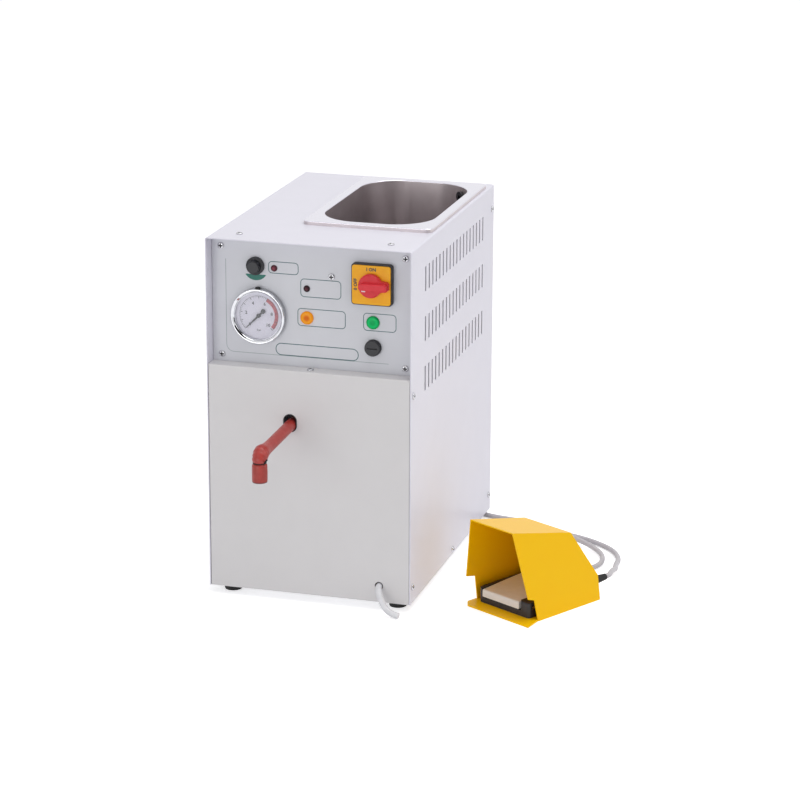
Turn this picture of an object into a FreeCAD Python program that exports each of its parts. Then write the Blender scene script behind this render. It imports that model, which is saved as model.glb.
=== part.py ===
import FreeCAD
import Part
import math
import os

from FreeCAD import Vector

# Steam cleaner for jewellery: a sheet metal cabinet with a water pan, a boiler and a steam pipe,
# and the guarded foot pedal that opens its steam valve. All sizes are millimetres.
#
# The pieces are drawn in the cabinet's frame: X to the right, Y to the back, Z up from the floor,
# with the origin on the floor below the middle of the front face. The pedal is drawn in its own
# frame and turned into place. At the end everything is centred on the assembly's own box.

# Cabinet sheets
WIDTH = 255.0
DEPTH = 382.0
BODY_HEIGHT = 437.0
PANEL_HEIGHT = 155.5
SHEET = 1.2
BEND = 2.5
SEAM = 0.4
FLANGE = 18.0
RECESS = 20.0
PANEL_LAP = 14.0

# Rubber feet
FOOT_HEIGHT = 10.0
FOOT_RADIUS = 12.0
FOOT_SIDE = 22.0
FOOT_FRONT = 24.0
FOOT_BACK = 37.0

# Ventilation slots in both sides of the cover
SLOT_ROWS = 3
SLOT_PITCH = 15.65
SLOT_ROW_PITCH = 61.4
SLOT_WIDTH = 5.0
SLOT_LENGTH = 30.6
SLOT_MARGIN = 61.2
SLOT_BACK = 50.0
SLOT_DROP = 46.3

# Water pan, a quarter gastronorm pan hung in the top by its rim
PAN_LENGTH = 265.0
PAN_WIDTH = 162.0
PAN_DEPTH = 150.0
PAN_RIM = 12.0
PAN_RIM_HEIGHT = 5.0
PAN_CORNER = 50.0
PAN_RIM_CORNER = 9.0
PAN_TAPER = 7.0
PAN_WALL = 0.8
PAN_FLOOR_RADIUS = 14.0
PAN_MOUTH_RADIUS = 1.2
PAN_SIDE = 3.5
PAN_BACK = 20.0
PAN_GAP = 1.5
OVERFLOW_RADIUS = 7.0
OUTLET_RADIUS = 6.0

# Screws
SCREW_HEAD = 3.6
SCREW_HEAD_HEIGHT = 2.0
SCREW_SHANK = 1.9
SCREW_LENGTH = 7.0
SIDE_SCREW_IN = 10.26
SIDE_SCREW_BELOW_LEDGE = 21.4
SIDE_SCREW_RISE = 20.3
BASE_SCREW_PAST_MIDDLE = 3.0
BASE_SCREW_RISE = 6.3
REAR_SCREW_IN = 9.0
REAR_SCREW_RISE = 21.4
REAR_SCREW_DROP = 30.0
TOP_SCREW_SIDE = 33.5
BRACE_SCREW_X = 23.5
BRACE_SCREW_DROP = 42.0

# Steam line
STEAM_X = -22.8
STEAM_Z = 223.4
STEAM_REACH = 113.0
STEAM_DROOP = 1.8
PIPE_KNEE = 30.0
PIPE_RADIUS = 5.0
PIPE_WALL = 1.0
SLEEVE_RADIUS = 7.0
ELBOW_EASE = 0.6
TIP_RADIUS = 9.2
TIP_LENGTH = 23.0
TIE_WIRE = 1.3
GROMMET_WALL = 0.6
GROMMET_LIP = 0.5
SLOT_RISE = 5.6

# Boiler and what stands beside it
BOILER_RADIUS = 60.0
BOILER_LENGTH = 210.0
BOILER_WALL = 2.5
BOILER_X = -35.0
BOILER_FRONT = 96.0
BOILER_CLEAR = 32.0
BOILER_DISH = 13.2
SADDLE_THICK = 3.0
SADDLE_FRONT = 46.2
SADDLE_BACK = 52.5
NECK_RADIUS = 7.0
NECK_BACK = 12.0
TERMINAL_CIRCLE = 14.0
TERMINAL_RADIUS = 4.0
TERMINAL_LENGTH = 16.0
HEATER_PLATE = 6.0
VALVE_SIZE = 36.0
VALVE_FRONT = 62.0
VALVE_TAIL = 24.0
PUMP_RADIUS = 26.0
PUMP_LENGTH = 105.0
PUMP_X = 78.0
PUMP_FRONT = 150.0

# Drain
DRAIN_X = 88.4
DRAIN_Z = 31.0
DRAIN_BACK = 28.0
HOSE_RADIUS = 4.0
HOSE_BORE = 2.6
DRAIN_BLOCK = 24.0
SPIGOT_LENGTH = 10.0

# Control panel fittings, from the middle of the cabinet and below its top
GAUGE_X = -67.0
GAUGE_DROP = 95.7
GAUGE_RADIUS = 34.0
GAUGE_PROUD = 9.0
GAUGE_CASE_RADIUS = 30.5
GAUGE_CASE_DEPTH = 26.0
GAUGE_DIAL_RADIUS = 28.5
NEEDLE_REACH = 22.4
NEEDLE_TAIL = 8.1
NEEDLE_WEIGHT = 2.8
NEEDLE_HUB = 2.6
KNOB_X = -71.0
KNOB_DROP = 35.0
KNOB_RADIUS = 11.0
KNOB_HEIGHT = 12.0
KNOB_FLUTES = 8
ALARM_X = -47.8
ALARM_DROP = 36.5
EMPTY_X = -7.2
EMPTY_DROP = 58.5
LED_RADIUS = 3.2
HEATING_X = -7.0
HEATING_DROP = 94.2
LINE_X = 74.8
LINE_DROP = 93.6
LAMP_RADIUS = 8.0
LAMP_PROUD = 3.0
LAMP_DEPTH = 24.0
FUSE_X = 75.3
FUSE_DROP = 124.2
FUSE_RADIUS = 10.0
FUSE_PROUD = 6.5
FUSE_TUBE = 3.2
FUSE_LENGTH = 32.0
SWITCH_X = 75.0
SWITCH_DROP = 46.2
SWITCH_SIZE = 50.0
SWITCH_BASE_THICK = 7.0
SWITCH_BLOCK = 36.0
SWITCH_BLOCK_DEPTH = 42.0
SWITCH_PLATE_SIZE = 47.0
SWITCH_PLATE_THICK = 2.0
HANDLE_RADIUS = 14.3
HANDLE_HEIGHT = 13.0
HANDLE_REACH = 22.5
HANDLE_END = 5.4
PANEL_SCREW_SIDE = 12.9
PANEL_SCREW_TOP = 13.4
PANEL_SCREW_BOTTOM = 8.5
RUN_FIT = 0.1
LOOSE = 0.4

# Rear glands
GLAND_RADIUS = 10.0
GLAND_LENGTH = 16.0
MAINS_X = 78.0
MAINS_Z = 82.0
PEDAL_GLAND_X = 38.0
PEDAL_GLAND_Z = 68.0
MAINS_BORE = 4.5

# Foot pedal, in its own frame: X along the front edge, Y into the guard
PEDAL_AT_X = 187.5
PEDAL_AT_Y = 43.4
PEDAL_TURN = -30.0
GUARD_SHEET = 1.6
GUARD_LEFT = -9.7
GUARD_RIGHT = 94.4
GUARD_REAR = 134.5
GUARD_HEIGHT = 114.0
GUARD_LEAN = 16.6
GUARD_MOUTH = 25.6
GUARD_BROW = -3.8
GUARD_KNEE_HEIGHT = 30.6
GUARD_CREST = 94.0
GUARD_CREST_HEIGHT = 92.8
LEFT_NOTCH_HEIGHT = 34.5
LEFT_NOTCH_LOW = 16.2
LEFT_NOTCH_HIGH = 1.0
RIGHT_NOTCH_HEIGHT = 26.6
RIGHT_NOTCH_LOW = 22.4
RIGHT_NOTCH_HIGH = 12.4
NOTCH_SLANT = 3.0
PLATE_THICK = 2.0
PLATE_FRONT_CORNER = 9.6
PLATE_FLARE = 7.6
BASE_LEFT = 0.8
BASE_WIDTH = 83.5
BASE_FRONT = 19.4
BASE_LENGTH = 98.0
BASE_FLOOR = 3.0
LEFT_CHEEK = 4.3
RIGHT_CHEEK = 17.1
CHEEK_CHAMFER = 4.0
BASE_CORNER = 4.0
CHEEK_HEIGHT = 19.0
LIP_HEIGHT = 7.0
HOUSING_LENGTH = 20.0
HOUSING_RISE = 9.0
BASE_SCREW_IN = 9.0
TREADLE_THICK = 9.2
TREADLE_RISE = 5.0
TREADLE_GAP = 0.5
PIVOT_RADIUS = 2.0
PIVOT_BACK = 8.0
RELIEF_X = 80.0
RELIEF_Z = 20.0
RELIEF_RADIUS = 4.6
RELIEF_LENGTH = 24.0
PLUNGER_BACK = 14.0
PLUNGER_RADIUS = 2.5
SPRING_LEAF = 0.5
SPRING_WIDTH = 12.0
SPRING_LENGTH = 26.0
SPRING_BACK = 20.0

# Pedal cable, as it lies in the cabinet's frame
CABLE_RADIUS = 3.2
CABLE_LEAVE = 15.6
CABLE_POINTS = [
    (348.9, 182.0, 13.5),
    (336.3, 209.4, 5.0),
    (330.3, 252.6, 3.4),
    (316.8, 282.1, 3.4),
    (293.0, 303.5, 3.4),
    (262.0, 321.0, 3.4),
    (227.0, 330.0, 3.4),
    (193.0, 321.0, 3.4),
    (171.0, 294.0, 3.4),
    (172.0, 259.0, 3.4),
    (195.0, 232.0, 3.4),
    (230.0, 213.0, 3.4),
    (266.0, 198.0, 3.4),
    (296.0, 200.0, 3.6),
    (313.0, 225.0, 4.0),
    (308.0, 259.0, 4.6),
    (288.0, 284.0, 6.0),
    (258.0, 301.0, 9.5),
    (224.0, 319.0, 12.6),
    (188.0, 343.0, 9.6),
    (155.0, 362.0, 4.2),
    (124.0, 371.5, 3.4),
    (98.0, 390.0, 3.4),
    (76.0, 416.0, 6.0),
    (56.0, 434.0, 20.0),
    (41.0, 433.0, 43.0),
]
HOSE_POINTS = [
    (88.4, -4.0, 30.6),
    (92.0, -12.5, 25.0),
    (99.5, -18.5, 13.0),
    (108.5, -21.5, 5.6),
]
HOSE_END = (119.5, -23.0, 4.1)

HALF = WIDTH / 2
ELBOW_RADIUS = SLEEVE_RADIUS + ELBOW_EASE
FLOOR_Z = FOOT_HEIGHT
TOP_Z = FLOOR_Z + BODY_HEIGHT
LEDGE_Z = TOP_Z - PANEL_HEIGHT
PANEL_Y = RECESS
PAN_FRONT = DEPTH - PAN_BACK - PAN_LENGTH
GAUGE_Z = TOP_Z - GAUGE_DROP
KNOB_Z = TOP_Z - KNOB_DROP
ALARM_Z = TOP_Z - ALARM_DROP
EMPTY_Z = TOP_Z - EMPTY_DROP
HEATING_Z = TOP_Z - HEATING_DROP
LINE_Z = TOP_Z - LINE_DROP
FUSE_Z = TOP_Z - FUSE_DROP
SWITCH_Z = TOP_Z - SWITCH_DROP
INNER = HALF - SHEET
X_AXIS = Vector(1, 0, 0)
Y_AXIS = Vector(0, 1, 0)
Z_AXIS = Vector(0, 0, 1)
FRONT = Vector(0, -1, 0)


def box(x0, x1, y0, y1, z0, z1):
    """A block between two corners."""
    return Part.makeBox(x1 - x0, y1 - y0, z1 - z0, Vector(x0, y0, z0))


def rod(radius, start, axis, length):
    """A cylinder from a start point along an axis."""
    return Part.makeCylinder(radius, length, start, axis)


def pipe(radius, bore, start, axis, length):
    """A straight tube from a start point along an axis."""
    return rod(radius, start, axis, length).cut(rod(bore, start, axis, length))


def join(shapes):
    """One solid from pieces that overlap or touch."""
    whole = shapes[0]
    for shape in shapes[1:]:
        whole = whole.fuse(shape)
    return whole.removeSplitter()


def cut_all(shape, tools):
    """The shape without each of the tools."""
    for tool in tools:
        shape = shape.cut(tool)
    return shape


def polygon_prism(points, direction):
    """A prism on a closed outline of straight lines."""
    outline = Part.makePolygon(points + [points[0]])
    return Part.Face(outline).extrude(direction)


def rounded_outline(cx, cy, z, length_x, length_y, radius):
    """A level rectangle with round corners, as one wire."""
    hx = length_x / 2
    hy = length_y / 2
    edges = []
    for turn in range(4):
        quarter = math.radians(90 * turn)
        step_x = round(math.cos(quarter))
        step_y = round(math.sin(quarter))
        sx = step_x - step_y
        sy = step_x + step_y
        corner = Vector(cx + sx * (hx - radius), cy + sy * (hy - radius), z)
        arc = Part.Circle(corner, Z_AXIS, radius)
        edges.append(Part.Arc(arc, quarter, quarter + math.pi / 2).toShape())
    linked = []
    for index, edge in enumerate(edges):
        following = edges[(index + 1) % 4]
        linked.append(edge)
        linked.append(Part.LineSegment(edge.lastVertex().Point, following.firstVertex().Point).toShape())
    return Part.Wire(linked)


def upright_block(cx, cz, y0, y1, size_x, size_z, radius):
    """A block with round corners that stands on the control panel, from y0 back to y1."""
    face = Part.Face(rounded_outline(0, 0, 0, size_x, size_z, radius))
    block = face.extrude(Vector(0, 0, y1 - y0))
    block.rotate(Vector(0, 0, 0), X_AXIS, -90)
    block.translate(Vector(cx, y0, cz))
    return block


def obround_hole(cx, cz, y0, y1, radius, rise):
    """A round-ended upright hole: a circle of the radius, drawn up by the rise."""
    low = rod(radius, Vector(cx, y0, cz), Y_AXIS, y1 - y0)
    high = rod(radius, Vector(cx, y0, cz + rise), Y_AXIS, y1 - y0)
    return join([low, high, box(cx - radius, cx + radius, y0, y1, cz, cz + rise)])


def turned(profile, centre, axis, angle=360):
    """A turned piece: a half section given as (radius, height) pairs, spun about the axis."""
    points = []
    for radius, height in profile:
        points.append(Vector(radius, 0, height))
    face = Part.Face(Part.makePolygon(points + [points[0]]))
    solid = face.revolve(Vector(0, 0, 0), Z_AXIS, angle)
    solid.Placement = FreeCAD.Placement(centre, FreeCAD.Rotation(Z_AXIS, axis))
    return solid


def edges_at(shape, test):
    """The shape's edges whose middle passes the test."""
    found = []
    for edge in shape.Edges:
        if test(edge.CenterOfMass):
            found.append(edge)
    return found


def screw(at, inward, length=SCREW_LENGTH):
    """A pan head screw whose head sits on the surface at the point, turned in one piece."""
    profile = [(0, -length), (SCREW_SHANK, -length), (SCREW_SHANK, 0), (SCREW_HEAD, 0),
               (SCREW_HEAD * 0.7, SCREW_HEAD_HEIGHT), (0, SCREW_HEAD_HEIGHT)]
    return turned(profile, at, inward * -1)


def screw_hole(at, inward):
    """The clearance hole of such a screw, through the sheets below its head."""
    start = at - inward
    return rod(SCREW_SHANK + LOOSE / 2, start, inward, SCREW_LENGTH + 2)


def rounded_route(points, share=0.45):
    """Straight runs joined by tangent arcs, each as large as its two runs allow."""
    edges = []
    radii = []
    last = points[0]
    for before, corner, after in zip(points, points[1:], points[2:]):
        back = before - corner
        ahead = after - corner
        reach = share * min(back.Length, ahead.Length)
        back.normalize()
        ahead.normalize()
        half_turn = (math.pi - back.getAngle(ahead)) / 2
        radius = reach / math.tan(half_turn)
        start = corner + back * reach
        end = corner + ahead * reach
        inward = back + ahead
        inward.normalize()
        middle = corner + inward * (radius / math.cos(half_turn) - radius)
        edges.append(Part.LineSegment(last, start).toShape())
        edges.append(Part.Arc(start, middle, end).toShape())
        radii.append(radius)
        last = end
    edges.append(Part.LineSegment(last, points[-1]).toShape())
    return Part.Wire(edges), radii


def tube_along(path, radius):
    """A round tube along a path of lines and arcs: a cylinder on each line, a ring part on each arc."""
    pieces = []
    for edge in path.Edges:
        start = edge.valueAt(edge.FirstParameter)
        ahead = edge.tangentAt(edge.FirstParameter)
        if isinstance(edge.Curve, Part.Circle):
            section = Part.Face(Part.Wire([Part.Circle(start, ahead, radius).toShape()]))
            turn = math.degrees(edge.LastParameter - edge.FirstParameter)
            pieces.append(section.revolve(edge.Curve.Center, edge.Curve.Axis, turn))
        else:
            pieces.append(rod(radius, start, ahead, edge.Length))
    return pieces[0].multiFuse(pieces[1:])


def cover_screw_places():
    """Where screws hold the cover's sides to the front and back panels and the base."""
    places = []
    for side in (-1, 1):
        x = side * HALF
        inward = Vector(-side, 0, 0)
        for y, z in ((SIDE_SCREW_IN, LEDGE_Z - SIDE_SCREW_BELOW_LEDGE),
                     (SIDE_SCREW_IN, FLOOR_Z + SIDE_SCREW_RISE),
                     (DEPTH / 2 + BASE_SCREW_PAST_MIDDLE, FLOOR_Z + BASE_SCREW_RISE),
                     (DEPTH - REAR_SCREW_IN, FLOOR_Z + REAR_SCREW_RISE),
                     (DEPTH - REAR_SCREW_IN, TOP_Z - REAR_SCREW_DROP)):
            places.append((Vector(x, y, z), inward))
    for x in (-HALF + TOP_SCREW_SIDE, HALF - TOP_SCREW_SIDE):
        places.append((Vector(x, PANEL_Y + FLANGE / 2, TOP_Z), Z_AXIS * -1))
    return places


def panel_screw_places():
    """The control panel's corner screws, and one below its top edge."""
    places = []
    for x in (-HALF + PANEL_SCREW_SIDE, HALF - PANEL_SCREW_SIDE):
        for z in (TOP_Z - PANEL_SCREW_TOP, LEDGE_Z + PANEL_SCREW_BOTTOM):
            places.append((Vector(x, PANEL_Y, z), Y_AXIS))
    places.append((Vector(BRACE_SCREW_X, PANEL_Y, TOP_Z - BRACE_SCREW_DROP), Y_AXIS))
    return places


def ledge_screw_place():
    """The screw in the middle of the ledge below the control panel."""
    return Vector(0, RECESS * 0.5, LEDGE_Z), Z_AXIS * -1


def pan_centre():
    """The middle of the pan's rim, on the cover's top."""
    return HALF - PAN_SIDE - PAN_WIDTH / 2, PAN_FRONT + PAN_LENGTH / 2


def slot_count():
    """How many slots a row holds, from the front margin to the room kept at the back."""
    return int((DEPTH - SLOT_MARGIN - SLOT_BACK) / SLOT_PITCH) + 1


def outer_cover():
    """One bent sheet: the top and both sides, slotted, with the opening for the pan."""
    outside = box(-HALF, HALF, 0, DEPTH, FLOOR_Z, TOP_Z)
    ridges = []
    for edge in outside.Edges:
        middle = edge.CenterOfMass
        if abs(middle.z - TOP_Z) < 1e-6 and abs(abs(middle.x) - HALF) < 1e-6:
            ridges.append(edge)
    outside = outside.makeFillet(BEND, ridges)
    inside = box(-INNER, INNER, -1, DEPTH + 1, FLOOR_Z - 1, TOP_Z - SHEET)
    sheet = outside.cut(inside)
    cx, cy = pan_centre()
    hole = rounded_outline(cx, cy, TOP_Z - 2 * SHEET, PAN_WIDTH - 2 * PAN_RIM + 2 * PAN_GAP,
                           PAN_LENGTH - 2 * PAN_RIM + 2 * PAN_GAP, PAN_CORNER + PAN_GAP)
    tools = [Part.Face(hole).extrude(Vector(0, 0, 4 * SHEET))]
    for at, inward in cover_screw_places():
        tools.append(screw_hole(at, inward))
    for row in range(SLOT_ROWS):
        z = TOP_Z - SLOT_DROP - row * SLOT_ROW_PITCH
        for index in range(slot_count()):
            y = SLOT_MARGIN + index * SLOT_PITCH
            tools.append(box(-HALF - 1, HALF + 1, y - SLOT_WIDTH / 2, y + SLOT_WIDTH / 2,
                             z - SLOT_LENGTH / 2, z + SLOT_LENGTH / 2))
    return sheet.cut(Part.makeCompound(tools))


def lower_front_panel():
    """The lower front sheet, its sides folded back and its top folded into the ledge."""
    half = INNER - SEAM
    top = LEDGE_Z
    bottom = FLOOR_Z + SEAM
    outside = box(-half, half, 0, FLANGE, bottom, top)
    bends = []
    for edge in outside.Edges:
        middle = edge.CenterOfMass
        if abs(middle.y) < 1e-6 and (abs(abs(middle.x) - half) < 1e-6 or abs(middle.z - top) < 1e-6):
            bends.append(edge)
    outside = outside.makeFillet(BEND * 0.6, bends)
    tray = outside.cut(box(-half + SHEET, half - SHEET, SHEET, FLANGE + 1, bottom - 1, top - SHEET))
    ledge = box(-half, half, FLANGE - 1, RECESS - SEAM, top - SHEET, top)
    panel = join([tray, ledge])
    edging = SLEEVE_RADIUS + LOOSE + GROMMET_WALL
    tools = [obround_hole(STEAM_X, STEAM_Z, -1, FLANGE, edging, SLOT_RISE)]
    tools.append(rod(HOSE_RADIUS + 1.2, Vector(DRAIN_X, -1, DRAIN_Z), Y_AXIS, FLANGE))
    for at, inward in cover_screw_places():
        tools.append(screw_hole(at, inward))
    at, inward = ledge_screw_place()
    tools.append(screw_hole(at, inward))
    return cut_all(panel, tools)


def control_panel():
    """The set-back plate that carries the controls, with folded sides and a folded top."""
    half = INNER - SEAM
    bottom = LEDGE_Z - PANEL_LAP
    top = TOP_Z - SHEET - SEAM
    plate = box(-half, half, PANEL_Y, PANEL_Y + SHEET, bottom, top)
    left = box(-half, -half + SHEET, PANEL_Y, PANEL_Y + FLANGE, bottom, top)
    right = box(half - SHEET, half, PANEL_Y, PANEL_Y + FLANGE, bottom, top)
    head = box(-half, half, PANEL_Y, PANEL_Y + FLANGE, top - SHEET, top)
    panel = join([plate, left, right, head])
    deep = Vector(0, 1, 0) * (SHEET + 2)
    tools = []
    for x, z, radius in ((GAUGE_X, GAUGE_Z, GAUGE_CASE_RADIUS + LOOSE), (KNOB_X, KNOB_Z, 4.2),
                         (ALARM_X, ALARM_Z, LED_RADIUS), (EMPTY_X, EMPTY_Z, LED_RADIUS),
                         (HEATING_X, HEATING_Z, LAMP_RADIUS - 1.4), (LINE_X, LINE_Z, LAMP_RADIUS - 1.4),
                         (FUSE_X, FUSE_Z, FUSE_RADIUS - 2.2)):
        tools.append(rod(radius, Vector(x, PANEL_Y - 1, z), Y_AXIS, deep.Length))
    window = SWITCH_BLOCK + 2
    tools.append(box(SWITCH_X - window / 2, SWITCH_X + window / 2, PANEL_Y - 1, PANEL_Y + SHEET + 1,
                     SWITCH_Z - window / 2, SWITCH_Z + window / 2))
    for at, inward in panel_screw_places() + cover_screw_places():
        tools.append(screw_hole(at, inward))
    return cut_all(panel, tools)


def rear_panel():
    """The flat back sheet with folded sides, and holes for the two cable glands."""
    half = INNER - SEAM
    bottom = FLOOR_Z + SEAM
    top = TOP_Z - SHEET - SEAM
    plate = box(-half, half, DEPTH - SHEET, DEPTH, bottom, top)
    left = box(-half, -half + SHEET, DEPTH - FLANGE, DEPTH, bottom, top)
    right = box(half - SHEET, half, DEPTH - FLANGE, DEPTH, bottom, top)
    panel = join([plate, left, right])
    tools = []
    for x, z in ((MAINS_X, MAINS_Z), (PEDAL_GLAND_X, PEDAL_GLAND_Z)):
        tools.append(rod(GLAND_RADIUS - 3 + LOOSE / 2, Vector(x, DEPTH - SHEET - 1, z), Y_AXIS, SHEET + 2))
    for at, inward in cover_screw_places():
        tools.append(screw_hole(at, inward))
    return cut_all(panel, tools)


def base_plate():
    """The chassis tray that everything inside stands on."""
    half = INNER - SEAM
    front = SHEET + SEAM
    back = DEPTH - SHEET - SEAM
    floor = box(-half + SHEET + SEAM, half - SHEET - SEAM, front, back, FLOOR_Z, FLOOR_Z + SHEET)
    rise = FLOOR_Z + FLANGE * 0.8
    wings = [floor]
    for side in (-1, 1):
        inner = side * (half - SHEET)
        outer = side * half
        x0, x1 = sorted((inner, outer))
        wings.append(box(x0, x1, FLANGE + 1, DEPTH - FLANGE - 1, FLOOR_Z, rise))
        x0, x1 = sorted((side * (half - 2 * SHEET - SEAM), outer))
        wings.append(box(x0, x1, FLANGE + 1, DEPTH - FLANGE - 1, FLOOR_Z, FLOOR_Z + SHEET))
    plate = join(wings)
    tools = []
    for at, inward in cover_screw_places():
        tools.append(screw_hole(at, inward))
    return cut_all(plate, tools)


def rubber_feet():
    """Four tapered rubber feet under the base plate."""
    feet = []
    for x in (-HALF + FOOT_SIDE, HALF - FOOT_SIDE):
        for y in (FOOT_FRONT, DEPTH - FOOT_BACK):
            profile = [(0, 0), (FOOT_RADIUS - 1.5, 0), (FOOT_RADIUS, FOOT_HEIGHT * 0.7),
                       (FOOT_RADIUS, FOOT_HEIGHT), (0, FOOT_HEIGHT)]
            feet.append(turned(profile, Vector(x, y, 0), Z_AXIS))
    return Part.makeCompound(feet)


def pan_body(grow):
    """The drawn hollow: sloping walls, cone corners and a round floor edge, grown by the sheet."""
    cx, cy = pan_centre()
    top = TOP_Z + PAN_RIM_HEIGHT
    bottom = top - PAN_DEPTH - grow
    corner = PAN_CORNER + grow
    flat_x = PAN_WIDTH / 2 - PAN_RIM - PAN_CORNER
    flat_y = PAN_LENGTH / 2 - PAN_RIM - PAN_CORNER
    high_x = flat_x + corner
    high_y = flat_y + corner
    low_x = high_x - PAN_TAPER
    low_y = high_y - PAN_TAPER
    across = [Vector(cx - high_x, cy - flat_y, top), Vector(cx + high_x, cy - flat_y, top),
              Vector(cx + low_x, cy - flat_y, bottom), Vector(cx - low_x, cy - flat_y, bottom)]
    along = [Vector(cx - flat_x, cy - high_y, top), Vector(cx - flat_x, cy + high_y, top),
             Vector(cx - flat_x, cy + low_y, bottom), Vector(cx - flat_x, cy - low_y, bottom)]
    pieces = [polygon_prism(across, Y_AXIS * (2 * flat_y)), polygon_prism(along, X_AXIS * (2 * flat_x))]
    for x in (cx - flat_x, cx + flat_x):
        for y in (cy - flat_y, cy + flat_y):
            foot = Vector(x, y, bottom)
            pieces.append(Part.makeCone(corner - PAN_TAPER, corner, top - bottom, foot, Z_AXIS))
    hollow = join(pieces)
    floor_edges = []
    for edge in hollow.Edges:
        if abs(edge.BoundBox.ZMax - bottom) < 1e-4:
            floor_edges.append(edge)
    return hollow.makeFillet(PAN_FLOOR_RADIUS + grow, floor_edges)


def water_pan():
    """The stainless steel pan with its flat rim, rounded mouth and turned-down edge."""
    cx, cy = pan_centre()
    top = TOP_Z + PAN_RIM_HEIGHT
    outline = rounded_outline(cx, cy, TOP_Z, PAN_WIDTH, PAN_LENGTH, PAN_RIM_CORNER)
    slab = Part.Face(outline).extrude(Vector(0, 0, PAN_RIM_HEIGHT))
    under = rounded_outline(cx, cy, TOP_Z - 1, PAN_WIDTH - 2 * PAN_WALL, PAN_LENGTH - 2 * PAN_WALL,
                            PAN_RIM_CORNER - PAN_WALL)
    slab = slab.cut(Part.Face(under).extrude(Vector(0, 0, PAN_RIM_HEIGHT + 1 - PAN_WALL)))
    pan = slab.fuse(pan_body(PAN_WALL)).cut(pan_body(0)).removeSplitter()
    upper = []
    for edge in pan.Edges:
        if edge.BoundBox.ZMin > top - 1e-4:
            upper.append(edge)
    pan = pan.makeFillet(PAN_MOUTH_RADIUS, upper)
    tools = [rod(OUTLET_RADIUS - 2, Vector(cx, cy, top - PAN_DEPTH - 5), Z_AXIS, 10)]
    at, inward = overflow_place()
    tools.append(rod(OVERFLOW_RADIUS - 2.5, at - inward * 10, inward, 20))
    return cut_all(pan, tools)


def overflow_place():
    """The overflow fitting's seat, on the pan's round corner at the back right."""
    cx, cy = pan_centre()
    drop = OVERFLOW_RADIUS + PAN_RIM_HEIGHT + SHEET
    lean = PAN_TAPER * drop / PAN_DEPTH
    corner_x = cx + PAN_WIDTH / 2 - PAN_RIM - PAN_CORNER
    corner_y = cy + PAN_LENGTH / 2 - PAN_RIM - PAN_CORNER
    reach = (PAN_CORNER - lean) * math.sqrt(0.5)
    inward = Vector(-1, -1, 0)
    inward.normalize()
    return Vector(corner_x + reach, corner_y + reach, TOP_Z + PAN_RIM_HEIGHT - drop), inward


def overflow_fitting():
    """A black plastic overflow: a flange inside the pan, a neck through it and a nut outside."""
    at, inward = overflow_place()
    flange = rod(OVERFLOW_RADIUS, at + inward * 0.6, inward, 3.0)
    neck = rod(OVERFLOW_RADIUS - 2.7, at - inward * 12, inward, 13)
    nut = rod(OVERFLOW_RADIUS - 0.8, at - inward * 6, inward, 4.0)
    bore = rod(OVERFLOW_RADIUS - 4.4, at - inward * 13, inward, 18)
    return join([flange, neck, nut]).cut(bore)


def pan_outlet():
    """The outlet in the pan's floor that feeds the pump."""
    cx, cy = pan_centre()
    floor = TOP_Z + PAN_RIM_HEIGHT - PAN_DEPTH
    flange = rod(OUTLET_RADIUS, Vector(cx, cy, floor), Z_AXIS, 2.0)
    neck = rod(OUTLET_RADIUS - 2.2, Vector(cx, cy, floor - 22), Z_AXIS, 23)
    nut = rod(OUTLET_RADIUS, Vector(cx, cy, floor - PAN_WALL - 5), Z_AXIS, 5)
    bore = rod(OUTLET_RADIUS - 3.8, Vector(cx, cy, floor - 23), Z_AXIS, 27)
    return join([flange, neck, nut]).cut(bore)


def steam_fall():
    """How much the steam pipe falls for each millimetre forward."""
    return math.tan(math.radians(STEAM_DROOP))


def valve_height():
    """The height of the pipe where it leaves the valve."""
    return STEAM_Z + PIPE_KNEE * steam_fall()


def steam_route():
    """The steam pipe's centre line, from the valve's face out through the front and down."""
    start = Vector(STEAM_X, VALVE_FRONT, valve_height())
    knee = Vector(STEAM_X, PIPE_KNEE, valve_height())
    corner = Vector(STEAM_X, -STEAM_REACH, STEAM_Z - STEAM_REACH * steam_fall())
    elbow = ELBOW_RADIUS * math.tan(math.radians(90 - STEAM_DROOP) / 2)
    end = Vector(STEAM_X, -STEAM_REACH, corner.z - elbow - TIE_WIRE - 0.2 - TIP_LENGTH)
    return start, knee, corner, end


def bent_tube(radius, points, bend):
    """A tube along straight runs whose corners are arcs of one radius."""
    edges = []
    last = points[0]
    for before, corner, after in zip(points, points[1:], points[2:]):
        back = before - corner
        ahead = after - corner
        back.normalize()
        ahead.normalize()
        half_turn = (math.pi - back.getAngle(ahead)) / 2
        reach = bend * math.tan(half_turn)
        start = corner + back * reach
        end = corner + ahead * reach
        inward = back + ahead
        inward.normalize()
        middle = corner + inward * (bend / math.cos(half_turn) - bend)
        edges.append(Part.LineSegment(last, start).toShape())
        edges.append(Part.Arc(start, middle, end).toShape())
        last = end
    edges.append(Part.LineSegment(last, points[-1]).toShape())
    return tube_along(Part.Wire(edges), radius)


def steam_pipe():
    """The brass pipe that carries the steam from the valve to the tip."""
    points = list(steam_route())
    return bent_tube(PIPE_RADIUS, points, ELBOW_RADIUS).cut(
        bent_tube(PIPE_RADIUS - PIPE_WALL, points, ELBOW_RADIUS))


def pipe_sleeve():
    """The red silicone hose over the part of the pipe that stands out of the front."""
    start, knee, corner, end = steam_route()
    ahead = corner - knee
    ahead.normalize()
    first = knee + ahead * 8
    last = Vector(end.x, end.y, end.z + 3)
    outer = bent_tube(SLEEVE_RADIUS, [first, corner, last], ELBOW_RADIUS)
    return outer.cut(bent_tube(PIPE_RADIUS, [first, corner, last], ELBOW_RADIUS))


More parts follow.
